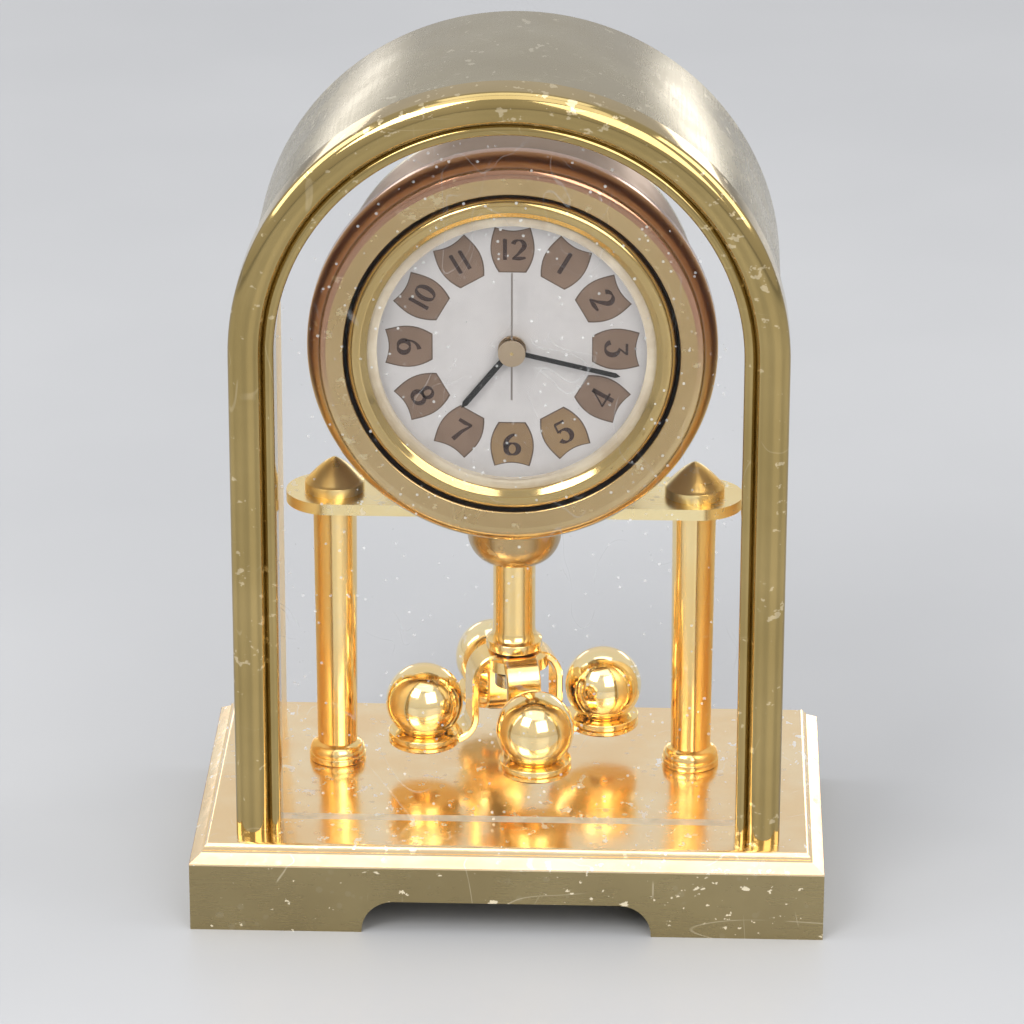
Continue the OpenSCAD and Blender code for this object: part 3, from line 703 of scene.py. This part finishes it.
BOSS_R = boss_high.x
BELL_Z = PLATE_BOTTOM - 2.6
BELL_R = 2.2
NECK_R = 1.9
FLANGE_Z = PLATE_BOTTOM - 1.0
STEM_TOP = stem_high.z
boss_profile = (
    [(0, PLATE_BOTTOM), (BOSS_R, PLATE_BOTTOM), (BOSS_R, FLANGE_Z)]
    + arc((BOSS_R - EDGE_R, FLANGE_Z), EDGE_R, EDGE_R, -10, -80, 3)
    + [(BOSS_R - 0.45, PLATE_BOTTOM - 1.4), (NECK_R + BELL_R, BELL_Z)]
    + arc((NECK_R, BELL_Z), BELL_R, BELL_Z - STEM_TOP, -8, -84, 16)
    + [(NECK_R, STEM_TOP), (0, STEM_TOP)]
)
piece("stem_boss_smooth", "case", "satin_ring", mat_ring,
      *lathe(boss_profile, 72, upright(0, PILLAR_Y)), replaced=["stem_boss"])

COLLAR_R = stem_high.x
STEM_R = 1.85
STEM_BOTTOM = stem_low.z
PIVOT_HOLE_R = 0.7
PIVOT_HOLE_DEPTH = 1.5
stem_profile = (
    [(0, STEM_TOP), (STEM_R, STEM_TOP)]
    + arc((COLLAR_R + 0.35, STEM_BOTTOM + 1.9), 0.95, 1.1, 180, 230, 8)
    + arc((COLLAR_R - EDGE_R, STEM_BOTTOM + 0.78), EDGE_R, EDGE_R, 60, 0, 3)
    + arc((COLLAR_R - EDGE_R, STEM_BOTTOM + 0.14), EDGE_R, EDGE_R, 0, -80, 3)
    + [(PIVOT_HOLE_R, STEM_BOTTOM), (PIVOT_HOLE_R, STEM_BOTTOM + PIVOT_HOLE_DEPTH)]
)
piece("pendulum_stem_smooth", "case", "warm_brass", mat_warm,
      *lathe(stem_profile, 72, upright(0, PILLAR_Y)), replaced=["pendulum_stem"])

# ---------------------------------------------------------------- head

RING_R = head_high.x
RING_FRONT = head_low.y
RING_BACK = -2.2
BORE_R = 14.15
DRUM_R = 15.6
DRUM_BACK = head_high.y
RING_BACK_EDGE_R = 0.3
RING_CURVE_W = 1.5
RING_CURVE_D = 2.2
BORE_EDGE_R = 0.15
ring_profile = closed_profile(
    [(BORE_R, DRUM_BACK), (DRUM_R, DRUM_BACK), (DRUM_R, RING_BACK)]
    + arc((RING_R - RING_BACK_EDGE_R, RING_BACK - RING_BACK_EDGE_R),
          RING_BACK_EDGE_R, RING_BACK_EDGE_R, 90, 0, 4)
    + arc((RING_R - RING_CURVE_W, RING_FRONT + RING_CURVE_D),
          RING_CURVE_W, RING_CURVE_D, 0, -84, 20)
    + [(RING_R - 1.7, RING_FRONT), (BORE_R + 0.2, RING_FRONT)]
    + arc((BORE_R + BORE_EDGE_R, RING_FRONT + BORE_EDGE_R),
          BORE_EDGE_R, BORE_EDGE_R, -90, -180, 4)
)
SADDLE_W = 9.0
SADDLE_D = 5.6
SADDLE_H = 1.2


def block(x0, x1, y0, y1, z0, z1):
    """A closed box between two limits along each axis."""
    verts = [(x, y, z) for x in (x0, x1) for y in (y0, y1) for z in (z0, z1)]
    faces = [(0, 1, 3, 2), (4, 6, 7, 5), (0, 4, 5, 1), (2, 3, 7, 6), (0, 2, 6, 4), (1, 5, 7, 3)]
    return verts, faces


ring_mesh = merged([
    lathe(ring_profile, 192, on_head),
    block(-SADDLE_W / 2, SADDLE_W / 2, PILLAR_Y - SADDLE_D / 2, PILLAR_Y + SADDLE_D / 2,
          PLATE_TOP, PLATE_TOP + SADDLE_H),
])
head = piece("head_ring_smooth", "case", "satin_ring", mat_ring, *ring_mesh,
             replaced=["head_housing"])


def on_ring_edge(face, middle):
    """The curved outer edge of the ring and the bore behind its front."""
    return head_radius(middle) > RING_R - RING_CURVE_W - 0.05 or middle.y > RING_FRONT + 0.6


paint(head.data, mat_ring_edge, on_ring_edge)
# The drum behind the ring gets the darker brass of the painted shade
paint(head.data, mat_drum_painted_shade, lambda face, middle: middle.y > RING_BACK)

LENS_R = 12.6
LENS_CLEAR_R = 11.5
BEZEL_R = 13.95
BEZEL_IN_R = 12.15
BEZEL_BACK = -3.4
BEZEL_SIDE_Y = -4.9
BEZEL_SEAT_Y = -5.14
bezel_profile = closed_profile(
    [(LENS_R + 0.05, BEZEL_BACK), (BEZEL_R, BEZEL_BACK), (BEZEL_R, BEZEL_SIDE_Y)]
    + arc((13.15, BEZEL_SIDE_Y), 0.8, 0.9, 0, -90, 18)
    + arc((12.85, -5.6), 0.3, 0.2, -90, -130, 4)
    + [(12.3, -5.45), (BEZEL_IN_R, -5.38)]
    + [(BEZEL_IN_R, BEZEL_SEAT_Y), (LENS_R + 0.05, BEZEL_SEAT_Y)]
)
piece("bezel_smooth", "case", "bezel_brass", mat_bezel, *lathe(bezel_profile, 192, on_head),
      replaced=["insert_bezel"])


def lens_profile():
    """A dome of even thickness, from the middle out and back along its front."""
    rise = 1.05
    thickness = 0.75
    edge_y = -4.3
    steps = 20
    back = []
    for i in range(steps + 1):
        r = LENS_R * i / steps
        back.append((r, edge_y - rise * (1 - (r / LENS_R) ** 2)))
    front = [(r, y - thickness) for r, y in back]
    return back + front[::-1]


lens = piece("lens_smooth", "case", "lens_clear", mat_lens, *lathe(lens_profile(), 128, on_head),
             replaced=["lens"])
# The rim faces of the lens get the painted cream glow
paint(lens.data, mat_lens_rim_painted_light, lambda face, middle: head_radius(middle) > LENS_CLEAR_R)

# ---------------------------------------------------------------- pendulum

HUB_TOP = spider_high.z
CUP_BOTTOM = cup_low.z
CUP_TOP = cup_high.z
CUP_R = 3.15
STRAP_W = 3.0
STRAP_T = 0.6
ARM_R = 4.05
BUSH_R = 1.2
SHOULDER = (1.9, 15.6)
BEND_R = 1.75


def about_pendulum(points, angle):
    """Points drawn with +X outwards, turned to one arm's direction."""
    turn = Matrix.Rotation(angle, 3, "Z")
    center = Vector((0, PILLAR_Y, 0))
    return [tuple(turn @ Vector(p) + center) for p in points]


arm_angles = [PENDULUM_A - math.pi / 2 + math.pi / 2 * k for k in range(4)]
outer = arc(SHOULDER, ARM_R - SHOULDER[0], HUB_TOP - SHOULDER[1], 90, 0, 18)
inner = arc(SHOULDER, ARM_R - SHOULDER[0] - STRAP_T, HUB_TOP - STRAP_T - SHOULDER[1], 90, 0, 18)
bend_c = (ARM_R + BEND_R, CUP_BOTTOM + STRAP_T + BEND_R)
outer_bend = arc(bend_c, BEND_R, BEND_R, 180, 270, 12)
inner_bend = arc(bend_c, BEND_R + STRAP_T, BEND_R + STRAP_T, 180, 270, 12)
STRAP_END_R = BALL_RING_R - CUP_R + 0.9


def strap():
    """One arm: a flat strip with softened edges, bent down and then out."""
    over = outer + outer_bend + [(STRAP_END_R, CUP_BOTTOM + STRAP_T)]
    under = inner + inner_bend + [(STRAP_END_R, CUP_BOTTOM)]
    half = STRAP_W / 2
    soft = EDGE_R
    verts = []
    for a, b in zip(over, under):
        top = Vector(a)
        low = Vector(b)
        inward = (low - top).normalized() * soft
        ring = [
            (top + inward, -half), (top, -half + soft), (top, half - soft), (top + inward, half),
            (low - inward, half), (low, half - soft), (low, -half + soft), (low - inward, -half),
        ]
        verts += [(p.x, y, p.y) for p, y in ring]
    return verts, sweep_faces(len(over), len(ring))


def spider_mesh():
    """A domed hub and the four arms that run out of it."""
    hub_reach = 3.1
    top = [p for p in outer if p[0] <= hub_reach]
    low = [p for p in inner if p[0] <= hub_reach]
    hub = closed_profile([(BUSH_R, HUB_TOP)] + top + low[::-1] + [(BUSH_R, HUB_TOP - STRAP_T)])
    parts = [lathe(hub, 72, upright(0, PILLAR_Y))]
    verts, faces = strap()
    for angle in arm_angles:
        parts.append((about_pendulum(verts, angle), faces))
    return merged(parts)


piece("spider_smooth", "pendulum", "warm_brass", mat_warm, *spider_mesh(),
      replaced=["pendulum_spider"])


def cup_profile():
    """Shallow dish with a groove round its side, hollowed to fit a ball."""
    seat = []
    rim_r = math.sqrt(BALL_R ** 2 - (BALL_Z - CUP_TOP) ** 2)
    groove_r = CUP_R - 0.18
    steps = 12
    for i in range(steps + 1):
        r = rim_r * i / steps
        seat.append((r, BALL_Z - math.sqrt(BALL_R ** 2 - r * r)))
    side = (
        [(0, CUP_BOTTOM), (CUP_R - 0.15, CUP_BOTTOM), (CUP_R, CUP_BOTTOM + 0.15)]
        + [(CUP_R, CUP_BOTTOM + 0.42), (groove_r, CUP_BOTTOM + 0.5)]
        + [(groove_r, CUP_BOTTOM + 0.58), (CUP_R, CUP_BOTTOM + 0.66)]
        + arc((CUP_R - EDGE_R, CUP_TOP - EDGE_R), EDGE_R, EDGE_R, 0, 80, 3)
    )
    return side + seat[::-1]


def round_arms(profile, segments):
    """The same lathe at the end of each arm."""
    parts = []
    for angle in arm_angles:
        x = BALL_RING_R * math.cos(angle)
        y = BALL_RING_R * math.sin(angle) + PILLAR_Y
        parts.append(lathe(profile, segments, upright(x, y)))
    return merged(parts)


def ball_profile():
    steps = 48
    return [
        (BALL_R * math.sin(math.pi * i / steps), BALL_Z - BALL_R * math.cos(math.pi * i / steps))
        for i in range(steps + 1)
    ]


piece("cups_smooth", "pendulum", "warm_brass", mat_warm, *round_arms(cup_profile(), 72),
      replaced=["ball_cups"])
piece("balls_smooth", "pendulum", "ball_brass", mat_ball, *round_arms(ball_profile(), 96),
      replaced=["pendulum_balls"])

# ---------------------------------------------------------------- dial printing

PRINT_T = 0.012


def flat_print(name, shapes, y_mm, material, slot="dial_white"):
    """Thin raised print on the dial; each shape is a closed outline seen from the front."""
    verts = []
    faces = []
    for outline in shapes:
        n = len(outline)
        start = len(verts)
        verts += [(x, y_mm, HEAD_Z + z) for x, z in outline]
        verts += [(x, y_mm - PRINT_T, HEAD_Z + z) for x, z in outline]
        faces.append(tuple(range(start, start + n)))
        faces.append(tuple(range(start + 2 * n - 1, start + n - 1, -1)))
        for i in range(n):
            j = (i + 1) % n
            faces.append((start + i, start + j, start + n + j, start + n + i))
    return piece(name, "case", slot, material, verts, faces)


def cartouche(grow=0.0):
    """Outline of one panel with +Z towards the rim: hollow top, bulged sides, flat foot."""
    foot_z = 6.8 - grow
    rim_z = 10.6 + grow
    foot_half = 1.05 + grow
    rim_half = 1.4 + grow
    bulge_half = 1.75 + grow
    rim_dip = 0.3
    steps = 10
    right = []
    for i in range(steps + 1):
        t = i / steps
        straight = foot_half + (rim_half - foot_half) * t
        peak = bulge_half - (foot_half + rim_half) / 2
        half = straight + peak * math.sin(math.pi * t ** 0.9)
        right.append((half, foot_z + (rim_z - foot_z) * t))
    top = []
    for i in range(1, steps):
        t = i / steps
        top.append((rim_half * (1 - 2 * t), rim_z - rim_dip * math.sin(math.pi * t)))
    return right + top + [(-x, z) for x, z in reversed(right)]


def turned(outline, clock_angle):
    """A shape drawn at twelve, turned clockwise by an angle in degrees."""
    c = math.cos(math.radians(clock_angle))
    s = math.sin(math.radians(clock_angle))
    return [(x * c + z * s, -x * s + z * c) for x, z in outline]


def stroke(points, widths):
    """Outline of a pen stroke through points, with a width at each point."""
    left = []
    right = []
    for i, point in enumerate(points):
        here = Vector(point)
        ahead = Vector(points[min(i + 1, len(points) - 1)])
        behind = Vector(points[max(i - 1, 0)])
        along = (ahead - behind).normalized()
        across = Vector((-along.y, along.x)) * widths[i] / 2
        left.append(tuple(here + across))
        right.append(tuple(here - across))
    return left + right[::-1]


def pen(points, start, middle, end):
    """A stroke whose width swells from start to middle and back to end."""
    count = len(points) - 1
    widths = []
    for i in range(count + 1):
        t = i / count
        swell = math.sin(math.pi * t)
        widths.append(start + (end - start) * t + (middle - (start + end) / 2) * swell)
    return stroke(points, widths)


def bowl(cx, cz, rx, rz, start, end, thin, thick, steps=28):
    """Curved stroke that is thin at top and foot and thick at the sides."""
    points = arc((cx, cz), rx, rz, start, end, steps)
    widths = []
    for i in range(steps + 1):
        angle = math.radians(start + (end - start) * i / steps)
        widths.append(thin + (thick - thin) * abs(math.cos(angle)))
    return stroke(points, widths)


THIN = 0.14
THICK = 0.44

# Old-style figures, 2 mm tall about the middle of a panel
FIGURES = {
    "0": [bowl(0, 0, 0.52, 0.9, 90, 450, THIN, THICK)],
    "1": [
        stroke([(0, -0.98), (0, 1.0)], [0.36, 0.36]),
        stroke([(-0.2, 0.88), (0.05, 1.0)], [0.1, 0.2]),
    ],
    "2": [
        bowl(-0.02, 0.42, 0.52, 0.5, 165, -40, THIN, THICK),
        pen([(0.36, 0.1), (-0.1, -0.45), (-0.58, -0.86)], 0.4, 0.24, THIN),
        pen([(-0.6, -0.86), (0.0, -0.84), (0.62, -0.78)], 0.16, 0.38, 0.2),
    ],
    "3": [
        stroke([(-0.5, 0.9), (0.5, 0.9)], [0.22, 0.22]),
        stroke([(0.44, 0.9), (-0.08, 0.24)], [0.16, 0.14]),
        bowl(-0.06, -0.3, 0.56, 0.58, 92, -165, THIN, THICK),
    ],
    "4": [
        stroke([(0.22, -0.98), (0.22, 1.0)], [0.38, 0.38]),
        stroke([(0.2, 0.95), (-0.62, -0.42)], [0.14, 0.14]),
        stroke([(-0.7, -0.42), (0.66, -0.42)], [0.18, 0.18]),
    ],
    "5": [
        stroke([(-0.34, 0.9), (0.5, 0.9)], [0.24, 0.2]),
        stroke([(-0.34, 0.92), (-0.42, 0.12)], [0.16, 0.16]),
        bowl(-0.04, -0.32, 0.56, 0.56, 125, -160, THIN, THICK),
    ],
    "6": [
        bowl(0.02, -0.4, 0.52, 0.5, 90, 450, THIN, THICK),
        bowl(0.4, -0.1, 0.94, 1.0, 190, 100, 0.16, 0.42),
    ],
    "7": [
        pen([(-0.6, 0.84), (0.0, 0.8), (0.6, 0.86)], 0.3, 0.34, 0.2),
        pen([(0.58, 0.86), (0.1, 0.0), (-0.2, -0.96)], 0.14, 0.3, 0.4),
    ],
    "8": [
        bowl(0, 0.45, 0.42, 0.45, 90, 450, 0.16, 0.34),
        bowl(0, -0.42, 0.54, 0.5, 90, 450, 0.16, 0.4),
    ],
    "9": [
        bowl(-0.02, 0.4, 0.52, 0.5, 90, 450, THIN, THICK),
        bowl(-0.4, 0.1, 0.94, 1.0, 10, -80, 0.42, 0.16),
    ],
}
FIGURE_GAP = {"10": 0.98, "11": 0.86, "12": 1.06}
FIGURE_SCALE = 1.02
PAIR_SCALE = 0.9
PAIR_SHIFT = 0.1
FIGURE_R = 8.72
INWARD_TOPS = (4, 5, 6, 7, 8)
HOUR_STEP = 30


def numeral(hour):
    """Strokes of an hour's figures, in place on the dial."""
    text = str(hour)
    gap = FIGURE_GAP.get(text, 0.0)
    upside = -1 if hour in INWARD_TOPS else 1
    shapes = []
    for k, figure in enumerate(text):
        shift = (k - (len(text) - 1) / 2) * gap
        if text in ("10", "12") and k == 0:
            shift -= PAIR_SHIFT
        for outline in FIGURES[figure]:
            size = FIGURE_SCALE * (PAIR_SCALE if len(text) == 2 else 1.0)
            placed = [
                (upside * (x * size + shift), FIGURE_R + upside * z * size) for x, z in outline
            ]
            shapes.append(turned(placed, HOUR_STEP * hour))
    return shapes


def panels(some_hours, grow=0.0):
    """The panels of some hours, in place on the dial."""
    return [turned(cartouche(grow), HOUR_STEP * hour) for hour in some_hours]


hours = range(1, 13)
# The hours whose panels carry the painted warm reflection
painted_reflection_hours = (5, 6)
plain_hours = [hour for hour in hours if hour not in painted_reflection_hours]
figures = [shape for hour in hours for shape in numeral(hour)]
OUTLINE_W = 0.1
flat_print("dial_outlines", panels(hours, OUTLINE_W), DIAL_Y, mat_outline)
flat_print("dial_cartouches", panels(plain_hours), DIAL_Y - PRINT_T, mat_cartouche)
flat_print("dial_cartouches_painted_reflection", panels(painted_reflection_hours), DIAL_Y - PRINT_T, mat_cartouche_painted_reflection)
flat_print("dial_numerals", figures, DIAL_Y - 2 * PRINT_T, mat_numeral)

# ---------------------------------------------------------------- materials of the CAD nodes

node_materials = {
    mat_plinth: ["base_plinth"],
    mat_felt: ["foot_pads"],
    mat_screw: ["pillar_screws", "case_screws", "band_screws", "stem_stud", "pivot_screw",
                "bridge_screws"],
    mat_pane: ["front_pane"],
    mat_warm: ["ball_rivets", "pillars", "pendulum_stem", "pendulum_spider", "ball_cups"],
    mat_plate: ["platform_plate"],
    mat_nut: ["finial_nuts"],
    mat_band: ["rear_cover", "case_band"],
    mat_deck: ["deck_plate"],
    mat_mould: ["front_moulding"],
    mat_ring: ["head_housing", "stem_boss"],
    mat_bezel: ["insert_bezel"],
    mat_lens: ["lens"],
    mat_ball: ["pendulum_balls"],
    mat_dial: ["dial"],
    mat_shell: ["insert_case", "cannon_pinion", "quartz_crystal", "battery_hatch"],
    mat_nylon: ["grip_ring", "step_wheel"],
    mat_black: ["hour_hand", "minute_hand"],
    mat_second: ["second_hand"],
    mat_movement: ["pivot_bush", "main_plate", "hour_wheel", "minute_wheel", "centre_wheel",
                   "seconds_wheel", "third_wheel", "train_bridge", "battery_contact"],
    mat_magnet: ["rotor"],
    mat_iron: ["stator"],
    mat_copper: ["coil"],
    mat_board: ["circuit_board"],
    mat_cell: ["battery"],
    mat_knob: ["setting_knob"],
}
for material, names in node_materials.items():
    for name in names:
        mesh = nodes[name].data
        mesh.materials.clear()
        mesh.materials.append(material)



def paint_bush(mesh):
    """Makes the round bush in the middle of a hand tan."""
    def on_bush(face, middle):
        corners = [mesh.vertices[i].co / MM for i in face.vertices]
        return all(head_radius(corner) < CAP_R + 0.15 for corner in corners)

    paint(mesh, mat_cap, on_bush)


for name in ("second_hand", "minute_hand", "hour_hand"):
    paint_bush(nodes[name].data)

# The pane's thin edges are ground, and painted with a pale glow
paint(nodes["front_pane"].data, mat_pane_edge_painted_glow, lambda face, middle: abs(face.normal.y) < 0.5)

# ---------------------------------------------------------------- floor, lights and camera


def flat_floor():
    """A pale grey table, satin enough for a soft reflection of the clock."""
    half_width = 1.6
    mesh = bpy.data.meshes.new("floor")
    work = bmesh.new()
    bmesh.ops.create_grid(work, x_segments=8, y_segments=8, size=half_width)
    work.to_mesh(mesh)
    work.free()
    floor = bpy.data.objects.new("floor", mesh)
    bpy.context.scene.collection.objects.link(floor)
    surface = Surface("floor_pale")
    mottle = surface.noise(9.0, detail=4.0)
    grey = surface.mix(surface.ramp(mottle, 0.3, 0.7), (0.33, 0.34, 0.36), (0.36, 0.37, 0.39))
    surface.feed("Base Color", grey)
    surface.feed("Roughness", 0.38)
    mesh.materials.append(surface.material)


AIM = Vector((0.0, 0.0, 0.04))
LIGHTS = (
    # name, place, width and height in metres, watts, colour
    ("key_left", (-0.30, -0.45, 0.50), 0.30, 0.30, 2.7, (1.0, 0.97, 0.92)),
    ("fill_front", (0.26, -0.55, 0.38), 0.40, 0.40, 1.9, (1.0, 0.96, 0.9)),
    ("over_front", (0.0, -0.30, 0.70), 0.70, 0.40, 1.3, (1.0, 0.98, 0.95)),
    ("side_left", (-0.55, -0.02, 0.40), 0.40, 0.40, 2.0, (1.0, 0.98, 0.95)),
    ("side_right", (0.55, -0.02, 0.40), 0.40, 0.40, 1.8, (1.0, 0.97, 0.93)),
    ("top", (0.0, 0.12, 0.70), 0.50, 0.40, 1.0, (0.97, 0.98, 1.0)),
    ("back_left", (-0.24, 0.60, 0.115), 0.16, 0.09, 0.085, (1.0, 0.97, 0.93)),
    ("back_right", (0.24, 0.60, 0.115), 0.16, 0.09, 0.15, (1.0, 0.97, 0.93)),
)


def softbox(name, place, width, height, watts, color):
    """An area light that faces the clock and isn't seen itself."""
    light = bpy.data.lights.new(name, "AREA")
    light.shape = "RECTANGLE"
    light.size = width
    light.size_y = height
    light.energy = watts
    light.color = color
    obj = bpy.data.objects.new(name, light)
    obj.location = place
    obj.rotation_euler = (AIM - Vector(place)).to_track_quat("-Z", "Y").to_euler()
    obj.visible_camera = False
    bpy.context.scene.collection.objects.link(obj)


def studio_world():
    """Soft, nearly even surroundings: warm grey below, cool grey above."""
    world = bpy.data.worlds.new("studio")
    bpy.context.scene.world = world
    world.use_nodes = True
    tree = world.node_tree
    background = tree.nodes["Background"]
    coords = tree.nodes.new("ShaderNodeTexCoord")
    split = tree.nodes.new("ShaderNodeSeparateXYZ")
    ramp = tree.nodes.new("ShaderNodeValToRGB")
    tree.links.new(coords.outputs["Generated"], split.inputs["Vector"])
    tree.links.new(split.outputs["Z"], ramp.inputs["Fac"])
    tree.links.new(ramp.outputs["Color"], background.inputs["Color"])
    stops = ramp.color_ramp.elements
    stops[0].position = 0.0
    stops[0].color = (0.66, 0.65, 0.64, 1)
    stops[1].position = 1.0
    stops[1].color = (0.72, 0.73, 0.75, 1)
    middle = ramp.color_ramp.elements.new(0.35)
    middle.color = (0.78, 0.77, 0.76, 1)
    background.inputs["Strength"].default_value = 1.0


flat_floor()
studio_world()
for light_values in LIGHTS:
    softbox(*light_values)

# The camera looks down at the clock from the front, a little from its right
CAMERA_DISTANCE = 0.44562
CAMERA_ELEVATION = math.radians(22.17)
CAMERA_YAW = math.radians(1.90)
CAMERA_ROLL = math.radians(0.14)
CAMERA_TARGET = Vector((-0.00011, 0.0, 0.03232))
CAMERA_LENS = 182.4
toward = Vector((
    math.sin(CAMERA_YAW) * math.cos(CAMERA_ELEVATION),
    -math.cos(CAMERA_YAW) * math.cos(CAMERA_ELEVATION),
    math.sin(CAMERA_ELEVATION),
))
camera_data = bpy.data.cameras.new("camera")
camera_data.lens = CAMERA_LENS
camera_data.sensor_width = 36.0
camera_data.clip_start = 0.01
camera = bpy.data.objects.new("camera", camera_data)
camera.location = CAMERA_TARGET + toward * CAMERA_DISTANCE
look = (-toward).to_track_quat("-Z", "Y").to_matrix().to_4x4()
camera.rotation_euler = (look @ Matrix.Rotation(CAMERA_ROLL, 4, "Z")).to_euler()
bpy.context.scene.collection.objects.link(camera)
bpy.context.scene.camera = camera
bpy.context.scene.view_settings.view_transform = "Standard"
